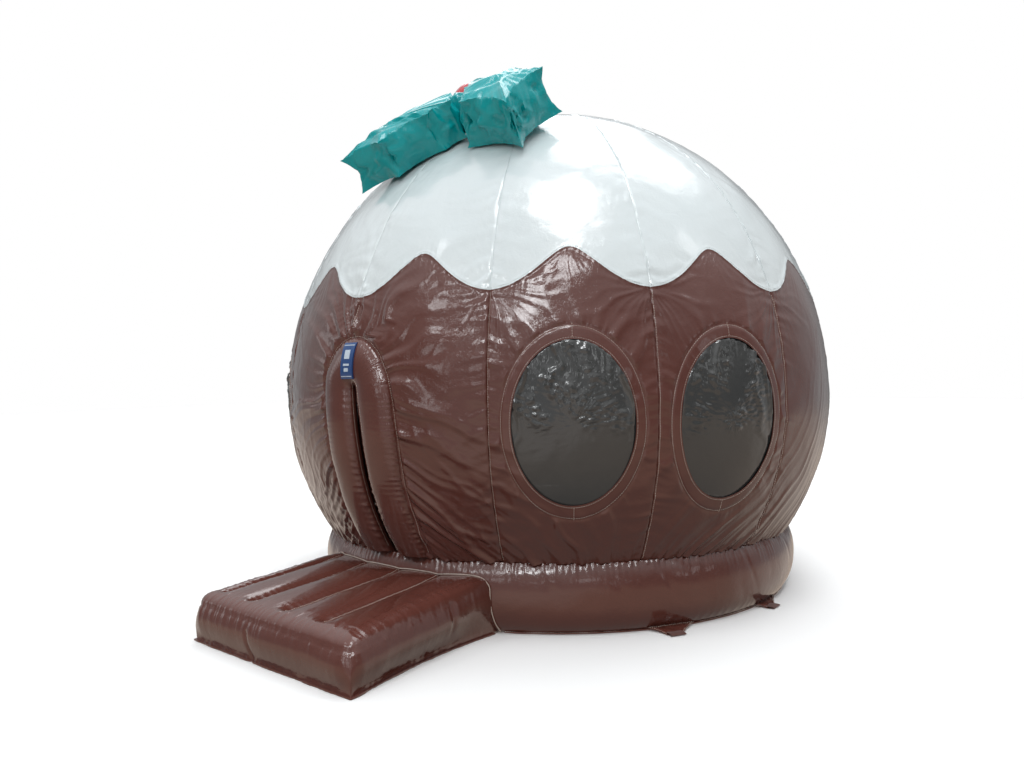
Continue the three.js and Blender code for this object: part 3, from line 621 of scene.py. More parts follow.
def sew(name, rows, thread=thread, width=STITCH_WIDTH):
    """One piece of all the stitches of some rows. A row is a line of points on the cloth, and
    the same line lifted off it."""
    boxes = []
    for line, lifted in rows:
        run = run_along(line)
        half = STITCH_LENGTH / 2
        middle = np.arange(STITCH_PITCH / 2, run[-1] - half, STITCH_PITCH)
        heads, feet = spots_along(middle + half, run, line), spots_along(middle - half, run, line)
        centre = (heads + feet) / 2
        out = unit(spots_along(middle, run, lifted) - centre)
        aside = unit(np.cross(out, heads - feet)) * width / 2
        corners = [
            centre + share * ((heads - centre) * way + aside * side) + out * level
            for level, share in ((-STITCH_SINK, 1.0), (width / 2, 0.6))
            for way, side in ((-1, -1), (1, -1), (1, 1), (-1, 1))
        ]
        boxes.append(np.stack(corners, 1))
    boxes = np.concatenate(boxes)
    faces = BOX_FACES[None] + 8 * np.arange(len(boxes))[:, None, None]
    return make_piece(name, boxes.reshape(-1, 3), faces.reshape(-1, 4), thread, "icing_pvc", crease=40)


def on_skin(azimuth, latitude):
    """A row of stitches on the dome, and the same row lifted off it."""
    relief = skin_relief(azimuth, latitude)
    return dome_point(azimuth, latitude, relief), dome_point(azimuth, latitude, relief + LIFT)


low = float(scallop_latitude(np.array(0.0)))
brown_rows, white_rows, window_rows = [], [], []
across = np.linspace(0.004, 0.996, 200)
for gore in range(GORES):
    start = latitude_at(DOOR_TOP_Z + 0.02) if gore == 0 else neck_latitude + 0.3
    for rows, first, last in (
        (brown_rows, start, low - 0.4),
        (white_rows, low + 0.8, CROWN_DISC_LATITUDE - 0.3),
    ):
        latitude = np.linspace(first, last, 300)
        beside = np.degrees(SEAM_MARGIN / radius_at(latitude))
        rows.append(on_skin(SEAM_TURN + gore * GORE_ANGLE + beside, latitude))
    hem = SEAM_TURN + (gore + across) * GORE_ANGLE
    white_rows.append(on_skin(hem, scallop_latitude(across) + HEM_MARGIN))
turn = np.linspace(0, 2 * np.pi, 400)
tick = np.linspace(0.010, WINDOW_HEM + 0.01, 20)
for gore in WINDOW_GORES:
    for direction, out in (
        (turn, 0.010),
        (turn, WINDOW_HEM - 0.006),
        (np.pi / 2, tick),
        (-np.pi / 2, tick),
    ):
        window_rows.append(on_skin(*window_spot(gore, direction + 0 * out, 1 + out / WINDOW_MEAN)))
sew("thread_brown_seams", brown_rows)
sew("thread_icing", white_rows, white_thread, WHITE_STITCH_WIDTH)
sew("thread_windows", window_rows)

# ---- Bed ------------------------------------------------------------------------------------
# The bouncy floor: an inflated disc whose wall bulges between a seam at the ground and the neck
# seam. The top of the wall is gathered into that seam, so it is full of short tight puckers.

BED_TOP_Z = 0.4794
BED_FOOT_RADIUS = 1.862
BED_MEAN = 1.9  # mean radius, which turns angles into metres along the wall
# Its outline as radius and height: the underside, the wall, and in over the top
BED_UNDER = ((0.5, 0.0), (1.2, 0.0), (1.7, 0.0), (1.84, 0.0))
BED_WALL = ((BED_FOOT_RADIUS, 0.0), (1.918, 0.070), (1.952, 0.155), (1.965, 0.256))
BED_WALL += ((1.961, 0.340), (1.945, 0.405), (1.921, 0.455), (1.905, BED_TOP_Z))
BED_SHOULDER = ((1.893, 0.479), (1.88, 0.4785), (1.8, 0.479), (1.2, BED_TOP_Z), (0.5, BED_TOP_Z))
# Pitch and size of the puckers at its top, large and small, and of the folds at its foot, and
# the spacing and depth of the sags in its wall
BED_PUCKERS, BED_SMALL_PUCKERS, BED_FOOT_FOLDS = (0.041, 0.026), (0.019, 0.006), (0.07, 0.004)
BED_SAGS = (0.55, 0.004)
BED_SIDES, BED_WALL_ROWS = 1040, 32


def smooth_line(corners, count):
    """Points on a smooth line through corners (Catmull-Rom)."""
    p = np.array(corners, float)
    p = np.concatenate([2 * p[:1] - p[1:2], p, 2 * p[-1:] - p[-2:-1]])
    t = np.linspace(0, len(corners) - 1 - 1e-9, count)
    i = t.astype(int)
    s = (t - i)[:, None]
    a, b, c, d = p[i], p[i + 1], p[i + 2], p[i + 3]
    square, cube = 2 * a - 5 * b + 4 * c - d, 3 * b - 3 * c + d - a
    return 0.5 * (2 * b + (c - a) * s + square * s**2 + cube * s**3)


def bed_radius(z):
    radius, height = np.transpose(BED_WALL)
    return np.interp(z, height, radius)


def capped(rings):
    """Points and faces over closed rings, with both ends closed at their middles."""
    rows, columns = rings.shape[:2]
    count = rows * columns
    points = [rings.reshape(-1, 3), rings[:1].mean(1), rings[-1:].mean(1)]
    first = np.arange(columns)
    start, end = fan_faces(first, count), fan_faces(first + count - columns, count + 1)
    return np.concatenate(points), [*grid_faces(rows, columns, True), *start[:, ::-1], *end]


profile = np.concatenate([BED_UNDER, smooth_line(BED_WALL, BED_WALL_ROWS), BED_SHOULDER])
turn = turns(BED_SIDES)
arc = turn * BED_MEAN
radius, z = profile[:, :1], profile[:, 1:]
base = round_axis(turn, radius, z)
quick, drift, slow = humps(base, 0.12, 41), humps(base, 0.4, 42), humps(base, 1.1, 43)
on_wall = smoothstep(radius, 1.84, 1.88) * smoothstep(z, 0.0, 0.03)
gathered = np.exp(-(BED_TOP_Z - z) / 0.055) * smoothstep(radius, 1.87, 1.90)
pitch, size = BED_PUCKERS
puckers = edge_folds(arc / pitch + 0.35 * drift, BED_TOP_Z - z, 0.03, 1, 3, (45, 44), 1.4)
relief = size * gathered * (puckers - 0.3)
pitch, size = BED_SMALL_PUCKERS
relief += size * gathered * pleats(arc / pitch + quick, 46)
relief += on_wall * (0.003 * slow + 0.002 * drift)
pitch, size = BED_FOOT_FOLDS
relief += size * np.exp(-z / 0.05) * on_wall * ridge(arc * 2 * np.pi / pitch + 3 * drift)
pitch, size = BED_SAGS
sags = ridge(arc * 2 * np.pi / pitch + 3 * drift, 5) * on_wall * smoothstep(z, 0.05, 0.3)
relief -= size * sags
base = round_axis(turn, radius + relief * smoothstep(radius, 1.80, 1.87), z)
bed = make_piece("bed_cover", *capped(base), pudding_pvc, "brown_pvc", ["bed"])

# ---- Entrance step --------------------------------------------------------------------------
# An inflated mat that is tied to the bed. Four sewn channels hold its top down, so the air
# raises it in pillows between them, and its rounded front edge is drawn into short wrinkles.

STEP_HALF_WIDTH, STEP_FRONT_Y = 0.75, -3.055
STEP_BACK_RADIUS = 1.935  # the arc round the dome's axis on which its top ends
STEP_SKEW, STEP_FLARE = 0.038, 0.130
STEP_FRONT_HEIGHT, STEP_BACK_HEIGHT = 0.315, 0.385
STEP_ROUNDING, STEP_EDGE_DROP = 0.110, 0.075
STEP_CORNER = 0.085  # radius of its front corners, seen from above
STEP_CHANNELS_X = (-0.620, -0.275, 0.080, 0.410)
STEP_CHANNEL_DEPTH, STEP_CHANNEL_FADE, STEP_PILLOW = 0.042, 0.085, 0.007
STEP_BULGE, STEP_WAIST = 0.026, 0.045
STEP_WRINKLES = ((0.075, 0.0040, 0.10, 55), (0.030, 0.0030, 0.11, 57))  # pitch, size, reach, seed
STEP_WALL_WRINKLES = ((0.075, 0.0050, 0.17, 56), (0.026, 0.0030, 0.16, 58))
STEP_FOOT_WRINKLES = (0.060, 0.0025, 0.10, 59)
# A tuck in the front wall and a crease in the right wall, and grooves with depth and width
STEP_TUCK_X, STEP_CREASE_Y = -0.13, -2.22
CHANNEL_GROOVE, TUCK_GROOVE, CREASE_GROOVE = (0.009, 0.008), (0.016, 0.010), (0.010, 0.010)
STEP_COLUMNS, STEP_ROWS, STEP_WALL_ROWS = 180, 112, 24
WELT_PROFILE = ((-0.004, 0.0), (1.0, 0.0), (1.08, 0.5), (1.0, 1.0), (-0.004, 1.0))
BESIDE_CHANNEL = 0.012  # how far the thread lies to one side of a channel's groove
PIPING_RADIUS, PIPING_SIDES, PIPING_STEP = 0.0036, 8, 0.008
PIPING_EASING = 16  # how often its line is evened out, so that it turns the corner softly


def step_top(x, from_front, along):
    """Height of the step's top above the ground."""
    inside = [np.clip(gap / STEP_ROUNDING, 0, 1) for gap in (STEP_HALF_WIDTH - np.abs(x), from_front)]
    side, front = (1 - np.sqrt(1 - (1 - share) ** 2) for share in inside)
    side = side * (1 - 0.5 * smoothstep(along, 0.55, 1.0))
    drop = STEP_EDGE_DROP * np.minimum(1.15, np.hypot(side, front))
    level = STEP_FRONT_HEIGHT + (STEP_BACK_HEIGHT - STEP_FRONT_HEIGHT) * np.minimum(1, along * 1.15)
    fade = smoothstep(from_front, STEP_CHANNEL_FADE * 0.9, 2.1 * STEP_CHANNEL_FADE)
    fade = fade * (1 - 0.75 * smoothstep(along, 0.80, 1.0))
    channel = 0
    for line in STEP_CHANNELS_X:
        gap = np.abs(x - line)
        channel = channel + 0.62 * np.exp(-gap / 0.022) + 0.38 * np.clip(1 - gap / 0.165, 0, 1) ** 2
    return level - drop - STEP_CHANNEL_DEPTH * fade * channel + STEP_PILLOW * fade * (1 - channel)


u = np.linspace(-1, 1, STEP_COLUMNS + 1)[None, :]
v = np.linspace(0, 1, STEP_ROWS + 1)[:, None] ** 1.15
x = STEP_HALF_WIDTH * u + 0 * v
from_front = (-np.sqrt(STEP_BACK_RADIUS**2 - x**2) - (STEP_FRONT_Y - STEP_SKEW * u)) * v
from_side = STEP_HALF_WIDTH - np.abs(x)
corner_x = np.clip((STEP_CORNER - from_side) / STEP_CORNER, 0, 1)
corner_y = np.clip((STEP_CORNER - from_front) / STEP_CORNER, 0, 1)
round_x = STEP_CORNER * corner_x * (1 - np.sqrt(1 - corner_y**2 / 2))
round_y = STEP_CORNER * corner_y * (1 - np.sqrt(1 - corner_x**2 / 2))
place_x = x + STEP_FLARE * np.maximum(0, u) * (1 - v) ** 1.2 - np.sign(x) * round_x
place_y = STEP_FRONT_Y - STEP_SKEW * u * (1 - v) + from_front + round_y
top = np.stack([place_x, place_y, step_top(x, from_front, v)], -1)
quick, drift = humps(top, 0.11, 51), humps(top, 0.35, 52)
along_edge = np.where(from_front < from_side, x, place_y)
top[..., 2] += 0.0025 * drift
for pitch, size, reach, seed in STEP_WRINKLES:
    phase = along_edge / pitch + 0.4 * drift + 0.2 * quick
    from_rim = np.minimum(from_side, from_front) - 0.05
    held = np.exp(-(from_rim**2) / (reach * (0.5 + chance(phase, seed))) ** 2)
    top[..., 2] += size * held * pleats(phase, seed + 1, 1.5)
for line in STEP_CHANNELS_X:
    gap = np.abs(x - line)
    near = np.exp(-gap / 0.035) * smoothstep(from_front, 0.12, 0.2)
    top[..., 2] += 0.004 * near * ridge(2 * np.pi * place_y / 0.05 + 2 * quick)
    sewn = smoothstep(from_front, 0.09, 0.17) * (1 - 0.8 * smoothstep(v, 0.8, 1))
    top[..., 2] -= groove(gap, *CHANNEL_GROOVE) * sewn

# its walls, from the rim down to the ground; the back one follows the bed
edge = grid_loop(STEP_ROWS + 1, STEP_COLUMNS + 1)
rim_line = top.reshape(-1, 3)[edge]
side_u, side_v = ((share + 0 * x).ravel()[edge] for share in (u, v))
at_side, at_back = np.abs(side_u) > 0.9999, side_v > 0.9999
square_corner = np.stack([np.sign(x) * round_x, -round_y], -1).reshape(-1, 2)[edge]
at_corner = np.clip(np.linalg.norm(square_corner, axis=1) / 0.035, 0, 1)
tangent = np.roll(rim_line, -1, 0) - np.roll(rim_line, 1, 0)
outward = unit(np.stack([tangent[:, 1], -tangent[:, 0], 0 * side_u], -1))
drift = humps(rim_line, 0.3, 54)
arc = np.cumsum(np.linalg.norm(np.diff(rim_line, axis=0, prepend=rim_line[-1:]), axis=1))
levels = []
for share in np.arange(1, STEP_WALL_ROWS + 1) / STEP_WALL_ROWS:
    level = rim_line[:, 2] * (1 - share)
    bulge = STEP_BULGE * np.sin(np.pi * min(1, share * 1.1)) + 0.004 * np.sin(2 * np.pi * share)
    waist = -STEP_WAIST * np.sin(np.pi * (1 - side_v)) * at_side * smoothstep(share, 0.3, 1)
    wrinkle = 0.004 * drift * np.sin(np.pi * share)
    for pitch, size, reach, seed in STEP_WALL_WRINKLES:
        wrinkle += size * np.exp(-share / reach) * pleats(arc / pitch + 0.4 * drift, seed, 1.5)
    pitch, size, reach, seed = STEP_FOOT_WRINKLES
    wrinkle += size * np.exp(-(1 - share) / reach) * pleats(arc / pitch + 0.5 * drift, seed, 1.5)
    tuck = np.abs(rim_line[:, 0] - STEP_TUCK_X - 0.05 * share) + 9 * (side_v > 0.0001)
    crease = np.abs(rim_line[:, 1] - STEP_CREASE_Y - 0.03 * share) + 9 * (side_u < 0.9999)
    wrinkle -= groove(tuck, *TUCK_GROOVE) * smoothstep(share, 0.12, 0.35)
    wrinkle -= groove(crease, *CREASE_GROOVE) * smoothstep(share, 0.9, 0.3)
    out = np.where(at_back, 0, bulge * (1 - 0.75 * at_corner) + waist + wrinkle)
    spot = rim_line + outward * out[:, None]
    spot[:, :2] += square_corner * (0.35 + 0.6 * smoothstep(share, 0.0, 0.6))
    spot[:, 2] = level
    behind = -np.sqrt(np.maximum(bed_radius(level) ** 2 - rim_line[:, 0] ** 2, 0.1)) - 0.004
    spot[:, 1] = np.where(at_back, behind, spot[:, 1])
    levels.append(spot)
below = top.shape[0] * top.shape[1]
foot = below + STEP_WALL_ROWS * len(edge)
loops = [edge, *np.arange(below, foot).reshape(STEP_WALL_ROWS, -1)]
faces = [*grid_faces(STEP_ROWS + 1, STEP_COLUMNS + 1), *fan_faces(loops[-1], foot)[:, ::-1]]
for upper, lower in zip(loops, loops[1:]):
    faces.extend(loop_faces(upper, lower)[:, ::-1])
points = np.concatenate([top.reshape(-1, 3), *levels, levels[-1].mean(0)[None]])
step = make_piece("step_cover", points, faces, pudding_pvc, "brown_pvc", ["entrance_step"])


def rod_faces(rows, sides):
    """Quads round a row of rings, and one face over each end."""
    end = np.arange(sides)
    return [*grid_faces(rows, sides, True), end[::-1], end + (rows - 1) * sides]


def welt(name, line, out, width, thick):
    """A flat welt along a line on the ground: doubled cloth that stands out from a bottom seam."""
    wave = humps(line, 0.16, 90)
    rings = []
    for share, up in WELT_PROFILE:
        ring = line + out * (width * share * (1 + 0.25 * wave))[:, None]
        ring[:, 2] += up * thick * (1 + 0.3 * wave)
        rings.append(ring)
    points = np.stack(rings, 1).reshape(-1, 3)
    make_piece(name, points, rod_faces(len(line), len(rings)), pudding_pvc, "brown_pvc", crease=50)


foot_line, foot_out = levels[-1][~at_back], outward[~at_back]
start = int(np.argmax(np.linalg.norm(np.diff(foot_line, axis=0), axis=1))) + 1
welt("step_foot_welt", np.roll(foot_line, -start, 0), np.roll(foot_out, -start, 0), 0.016, 0.009)
turn = np.radians(np.arange(720) / 2)
bed_foot, bed_out = round_axis(turn, BED_FOOT_RADIUS, 0), round_axis(turn, 1, 0)
beyond_step = (np.abs(bed_foot[:, 0]) > STEP_HALF_WIDTH + 0.03) | (bed_foot[:, 1] > 0)
first = int(np.argmax(beyond_step & ~np.roll(beyond_step, 1)))
around = np.roll(np.arange(720), -first)[: int(beyond_step.sum())]
welt("bed_foot_welt", bed_foot[around], bed_out[around], 0.014, 0.007)
stitch_line = bed_foot[around] + bed_out[around] * 0.007 + (0, 0, 0.008)
sew("thread_bed_foot", [(stitch_line, stitch_line + (0, 0, LIFT))])
channel_rows = []
for line in STEP_CHANNELS_X:
    column = ((line - BESIDE_CHANNEL) / STEP_HALF_WIDTH + 1) / 2 * STEP_COLUMNS
    near = int(column)
    row = top[:, near] * (1 - column + near) + top[:, near + 1] * (column - near)
    row = row[(v[:, 0] > 0.12) & (v[:, 0] < 0.985)] + (0, 0, 0.0005)
    channel_rows.append((row, row + (0, 0, LIFT)))
sew("thread_step_channels", channel_rows)

# the piping, a round cord of pale cloth, along the back of the top and down the right corner
seam_x, seam_z = top[-2, :, 0], top[-2, :, 2] + 0.005
end_z = np.linspace(seam_z[-1] - 0.02, 0.012, 24)
end_x = STEP_HALF_WIDTH + 0.026 + 0 * end_z
line = np.concatenate([
    np.stack([x, -np.sqrt((bed_radius(z) + off) ** 2 - x**2), z], -1)
    for x, z, off in ((seam_x, seam_z, 0.013), (end_x, end_z, 0.014))
])
run = run_along(line)
line = spots_along(np.linspace(0, run[-1], int(run[-1] / PIPING_STEP)), run, line)
for _ in range(PIPING_EASING):
    line[1:-1] = (line[:-2] + 2 * line[1:-1] + line[2:]) / 4
ahead = unit(np.gradient(line, axis=0))
level = unit(np.cross(ahead, (0.3, 0.2, 1.0)))
turn = turns(PIPING_SIDES)[..., None]
round_line = level[:, None] * np.cos(turn) + np.cross(level, ahead)[:, None] * np.sin(turn)
rings = line[:, None] + PIPING_RADIUS * round_line
faces = rod_faces(len(line), PIPING_SIDES)
make_piece("step_back_piping", rings.reshape(-1, 3), faces, thread, "icing_pvc")

# ---- Slit door ------------------------------------------------------------------------------
# One inflated tube, bent into an arch so tight that its legs nearly meet: people push between
# them, and the legs close again and keep the air in. It is sewn into the first and last gore.

SLIT_TOP_Z = 1.655
SLIT_HALF_WIDTH_BASE, SLIT_HALF_WIDTH_TOP = 0.045, 0.018
TUBE_OUTWARD_FOOT, TUBE_OUTWARD_TOP, TUBE_INWARD = 0.092, 0.062, 0.080
TUBE_SET_IN = 0.015
TUBE_SQUARENESS = 2.3
TUBE_PUCKER_PITCH, TUBE_WRINKLE_PITCH, TUBE_FOLD_SIZE = 0.037, 0.046, 0.010
TUBE_STATIONS, TUBE_SIDES = 420, 60
ARCH_SHARE = 0.30  # share of the stations that are on the arch


def tube_outward(z):
    up = (z - DOOR_FOOT_Z) / (DOOR_TOP_Z - DOOR_FOOT_Z)
    return TUBE_OUTWARD_FOOT + (TUBE_OUTWARD_TOP - TUBE_OUTWARD_FOOT) * up


def tube_depth(x, z):
    """How far the tube's middle lies in front of the dome's axis."""
    radius = radius_at(latitude_at(z))
    return np.sqrt(radius * radius - x * x) - TUBE_SET_IN


def signed_power(value, exponent):
    return np.sign(value) * np.abs(value) ** exponent


def door_edges(share):
    """Inner and outer edge of the tube, seen square to the door, from one foot to the other."""
    side = np.where(share < 0.5, 1.0, -1.0)
    leg_share = (1 - ARCH_SHARE) / 2
    leg = np.clip(np.minimum(share, 1 - share) / leg_share, 0, 1)
    angle = np.clip((share - leg_share) / ARCH_SHARE, 0, 1) * np.pi
    on_arch = (share > leg_share) & (share < 1 - leg_share)
    leg_z = DOOR_FOOT_Z + (DOOR_ARCH_Z - DOOR_FOOT_Z) * leg
    up = (leg_z - DOOR_FOOT_Z) / (SLIT_TOP_Z - DOOR_FOOT_Z)
    leg_inner = side * (SLIT_HALF_WIDTH_BASE + (SLIT_HALF_WIDTH_TOP - SLIT_HALF_WIDTH_BASE) * up)
    leg_outer = side * (DOOR_HALF_WIDTH - (DOOR_HALF_WIDTH - DOOR_BASE_HALF_WIDTH) * (1 - leg) ** 2)
    rise = np.clip(np.minimum(angle, np.pi - angle) / 0.31, 0, 1)
    to_top = SLIT_TOP_Z - SLIT_HALF_WIDTH_TOP - DOOR_ARCH_Z
    inner_x = np.where(on_arch, SLIT_HALF_WIDTH_TOP * np.cos(angle), leg_inner)
    arch_z = DOOR_ARCH_Z + to_top * rise + SLIT_HALF_WIDTH_TOP * np.sin(angle)
    inner_z = np.where(on_arch, arch_z, leg_z)
    outer_x = np.where(on_arch, DOOR_HALF_WIDTH * np.cos(angle), leg_outer)
    outer_z = np.where(on_arch, DOOR_ARCH_Z + (DOOR_TOP_Z - DOOR_ARCH_Z) * np.sin(angle), leg_z)
    return inner_x + door_centre(inner_z), inner_z, outer_x + door_centre(outer_z), outer_z


def tube_face(share, angle, swell=0.0):
    """Points on the tube. angle runs round its section, 0 at its outer edge, 90 degrees at its
    front."""
    inner_x, inner_z, outer_x, outer_z = door_edges(share)
    middle_x, middle_z = (inner_x + outer_x) / 2, (inner_z + outer_z) / 2
    half_x, half_z = outer_x - middle_x, outer_z - middle_z
    grow = 1 + swell / np.hypot(half_x, half_z)
    aside = signed_power(np.cos(angle), 2 / TUBE_SQUARENESS) * grow
    x, z = middle_x + half_x * aside, middle_z + half_z * aside
    bulge = np.where(np.sin(angle) > 0, tube_outward(np.clip(z, DOOR_FOOT_Z, DOOR_TOP_Z)), TUBE_INWARD)
    proud = (bulge + swell) * signed_power(np.sin(angle), 2 / TUBE_SQUARENESS)
    return np.stack([x, -(tube_depth(x, np.minimum(z, 2.2)) + proud), z], -1)


stations = np.linspace(0, 1, TUBE_STATIONS)
edges = np.stack(door_edges(stations), -1)
inner_run, outer_run = run_along(edges[:, :2]), run_along(edges[:, 2:])


def tube_swell(share, angle):
    """How far the tube stands off its smooth form: puckers at its outer seam, and wrinkles on its
    inner face, where the bend shortens the cloth."""
    plain = tube_face(share, angle)
    quick, drift = humps(plain, 0.10, 61), humps(plain, 0.35, 62)
    near_outer = np.exp(-np.abs((angle - 0.35 + np.pi) % (2 * np.pi) - np.pi) / 0.45)
    near_inner = np.exp(-((angle - np.pi * 0.86) ** 2) / 0.42**2)
    outer_phase = np.interp(share, stations, outer_run) / TUBE_PUCKER_PITCH + 0.35 * drift
    inner_phase = np.interp(share, stations, inner_run) / TUBE_WRINKLE_PITCH + 0.35 * drift
    puckers = near_outer * pleats(outer_phase, 65, 1.6) * np.clip(0.7 + 0.5 * quick, 0.1, 1.3)
    lower = 1 - 0.7 * smoothstep(plain[..., 2], 0.8, 1.5)
    wrinkles = near_inner * lower * pleats(inner_phase, 66, 1.8)
    return TUBE_FOLD_SIZE * (puckers + wrinkles) + 0.004 * drift - 0.006


share = stations[:, None]
angle = turns(TUBE_SIDES)
face = tube_face(share, angle, tube_swell(share, angle))
door = make_piece("door_tube", *capped(face), pudding_pvc, "brown_pvc", ["door_surround"])

# a row of stitches in the dome beside the tube, and one along the tube's own seam, which is
# just inside the slit on the right leg and deeper in on the left one
share = np.linspace(0.012, 0.988, 500)
inner_x, inner_z, outer_x, outer_z = door_edges(share)
aside_x, aside_z = outer_x - inner_x, outer_z - inner_z
grow = 0.010 / np.hypot(aside_x, aside_z)
latitude = latitude_at(outer_z + aside_z * grow)
dome_row = on_skin(azimuth_at(outer_x + aside_x * grow, latitude), latitude)
angle = np.pi * (0.72 + 0.26 * smoothstep(share, 0.42, 0.58))
swell = tube_swell(share, angle)
slit_row = (tube_face(share, angle, swell), tube_face(share, angle, swell + LIFT))
sew("thread_door", [dome_row, slit_row])

# ---- Patch over the door --------------------------------------------------------------------
# A printed vinyl label, sewn flat over the top of the arch: plain blue with a pale border and
# three plain pale bars.

PATCH_CENTRE_X, PATCH_HALF_WIDTH = -0.060, 0.060
PATCH_BOTTOM_Z, PATCH_TOP_Z = 1.705, 1.950
PATCH_ROWS, PATCH_COLUMNS = 41, 21
# bottom, top, left and right of each bar, as shares of the label; the first two are the border
BARS = ((0.06, 0.08, -0.88, 0.88), (0.92, 0.94, -0.88, 0.88))
BARS += ((0.2, 0.3, -0.35, 0.35), (0.36, 0.42, -0.5, 0.5), (0.55, 0.8, -0.45, 0.45))
vinyl = coated_cloth("blue_label_vinyl", 0x1C4A86, 0x173F74, 0.3, 0.2, 0.4)
pale_vinyl = coated_cloth("pale_label_print", 0xC9D6E2, 0xB9C8D6, 0.35, 0.2, 0.4)


def patch_face(aside, up, height):
    z = PATCH_BOTTOM_Z + (PATCH_TOP_Z - PATCH_BOTTOM_Z) * up
    x = PATCH_CENTRE_X + PATCH_HALF_WIDTH * aside
    off = np.clip((x - door_centre(z)) / DOOR_HALF_WIDTH, -0.99, 0.99)
    outer_z = DOOR_ARCH_Z + (DOOR_TOP_Z - DOOR_ARCH_Z) * np.sqrt(1 - off**2)
    place = np.clip(2 * (z - SLIT_TOP_Z) / (outer_z - SLIT_TOP_Z) - 1, -0.98, 0.98)
    proud = tube_outward(z) * (1 - np.abs(place) ** TUBE_SQUARENESS) ** (1 / TUBE_SQUARENESS)
    return np.stack([x + 0 * z, -(tube_depth(x, z) + proud + height), z + 0 * x], -1)


aside = np.linspace(-1, 1, PATCH_COLUMNS)[None, :]
up = np.linspace(0, 1, PATCH_ROWS)[:, None]
label_faces = [patch_face(aside, up, height) for height in (0.007, -0.004)]
thin_sheet("door_label", *label_faces, False, vinyl, "patch_vinyl", ["door_patch"])
for number, (low, high, left, right) in enumerate(BARS, 1):
    aside, up = np.linspace(left, right, 9)[None, :], np.linspace(low, high, 5)[:, None]
    bar_faces = [patch_face(aside, up, height) for height in (0.0085, 0.0065)]
    thin_sheet(f"label_bar_{number}", *bar_faces, False, pale_vinyl, "patch_vinyl")

# ---- Holly leaves ---------------------------------------------------------------------------
# Two stuffed leaves, each cut from two sheets with a deep gusset between them. The corners stay
# sharp and stand out like a cushion's, and the sheets wrinkle in from each hollow of the edge.
# The leaves meet at the stalk, in a short stuffed neck of the same cloth.

SPRIG_ZENITH, SPRIG_AZIMUTH = math.radians(31.5), math.radians(2)
LEAF_CROWN, LEAF_HOLLOW = 0.040, 0.16
LEAF_CUP = 2.4  # radius of the bend across a leaf
LEAF_GUSSET_BULGE, LEAF_BASE_HOLLOW = 0.054, 0.048
LEAF_PINCHES, LEAF_FOLDS, LEAF_RAYS = (0.055, 0.015), (0.16, 0.032), (0.075, 0.020)  # pitch, size
LEAF_STEPS = 26
STALK_SOFTNESS = 9  # how many points to either side round off a corner at the stalk
GUSSET_ROWS, TOP_ROWS = 22, 26
# root, turn, pitch, roll, bend along it, length and height
RIGHT_LEAF = (0.091, -0.117, 0.030), 25, 13, 2, -2.4, 0.740, 0.345
LEFT_LEAF = (-0.027, 0.055, 0.027), 226, 6, 4, 12.0, 0.890, 0.292
# and the corners from the stalk to the tip
RIGHT_CORNERS = ((0.068, 0.068), (0.080, 0.238), (0.482, 0.422))
LEFT_CORNERS = ((-0.025, 0.068), (0.030, 0.250), (0.214, 0.249), (0.600, 0.222))
JOIN_PLACE, JOIN_WAY = (0.074, 0.010), math.radians(-32)
JOIN_HALF_LENGTH, JOIN_HALF_WIDTH = 0.098, 0.075
JOIN_LOW, JOIN_HIGH = 0.035, 0.320
JOIN_FOLDS, JOIN_ROWS, JOIN_SIDES = 11, 40, 72

outward = np.array([math.sin(SPRIG_AZIMUTH), -math.cos(SPRIG_AZIMUTH), 0])
sprig_origin = outward * DOME_RADIUS * math.sin(SPRIG_ZENITH)
sprig_origin[2] = WAIST_Z + CROWN_RISE * math.cos(SPRIG_ZENITH)
sprig_normal = outward * math.sin(SPRIG_ZENITH) / DOME_RADIUS
sprig_normal[2] = math.cos(SPRIG_ZENITH) / CROWN_RISE
sprig_normal = unit(sprig_normal)
sprig_across = np.array([math.cos(SPRIG_AZIMUTH), math.sin(SPRIG_AZIMUTH), 0])
sprig_up = np.cross(sprig_normal, sprig_across)


def sprig_point(across, up, height):
    """Points on the flat that touches the dome at the sprig, at a height over it."""
    place = np.stack(np.broadcast_arrays(across, up, height + 0.0003), -1)
    return sprig_origin + place @ np.stack([sprig_across, sprig_up, sprig_normal])


def leaf_outline(length, side):
    """Flat points round a leaf, how near each is to the middle of its hollow, and how far along
    the edge it lies."""
    corners = np.array([*((a, -b) for a, b in side), (length, 0), *side[::-1]])
    t = np.arange(LEAF_STEPS) / LEAF_STEPS
    flat, middle = [], []
    for index, corner in enumerate(corners):
        chord = corners[(index + 1) % len(corners)] - corner
        inward = np.array([-chord[1], chord[0]])
        at_stalk = index == len(corners) - 1
        hollow = 0 * t if at_stalk else 4 * t * (1 - t)
        flat.append(corner + np.outer(t, chord) + np.outer(LEAF_HOLLOW * hollow, inward))
        middle.append(hollow)
    flat, middle = np.concatenate(flat), np.concatenate(middle)
    # the corners at the stalk are round, and the others sharp
    weights = np.hanning(2 * STALK_SOFTNESS + 3)[1:-1]
    weights /= weights.sum()
    shifts = range(-STALK_SOFTNESS, STALK_SOFTNESS + 1)
    eased = sum(weight * np.roll(flat, shift, 0) for weight, shift in zip(weights, shifts))
    near = np.minimum(*(np.linalg.norm(flat - corners[k], axis=1) for k in (0, -1)))
    soft = np.exp(-((near / 0.10) ** 2))[:, None]
    flat = flat * (1 - soft) + eased * soft
    middle = middle * (1 - soft[:, 0]) + soft[:, 0]
    run = np.cumsum(np.linalg.norm(np.diff(flat, axis=0, prepend=flat[-1:]), axis=1))
    return flat, middle, run


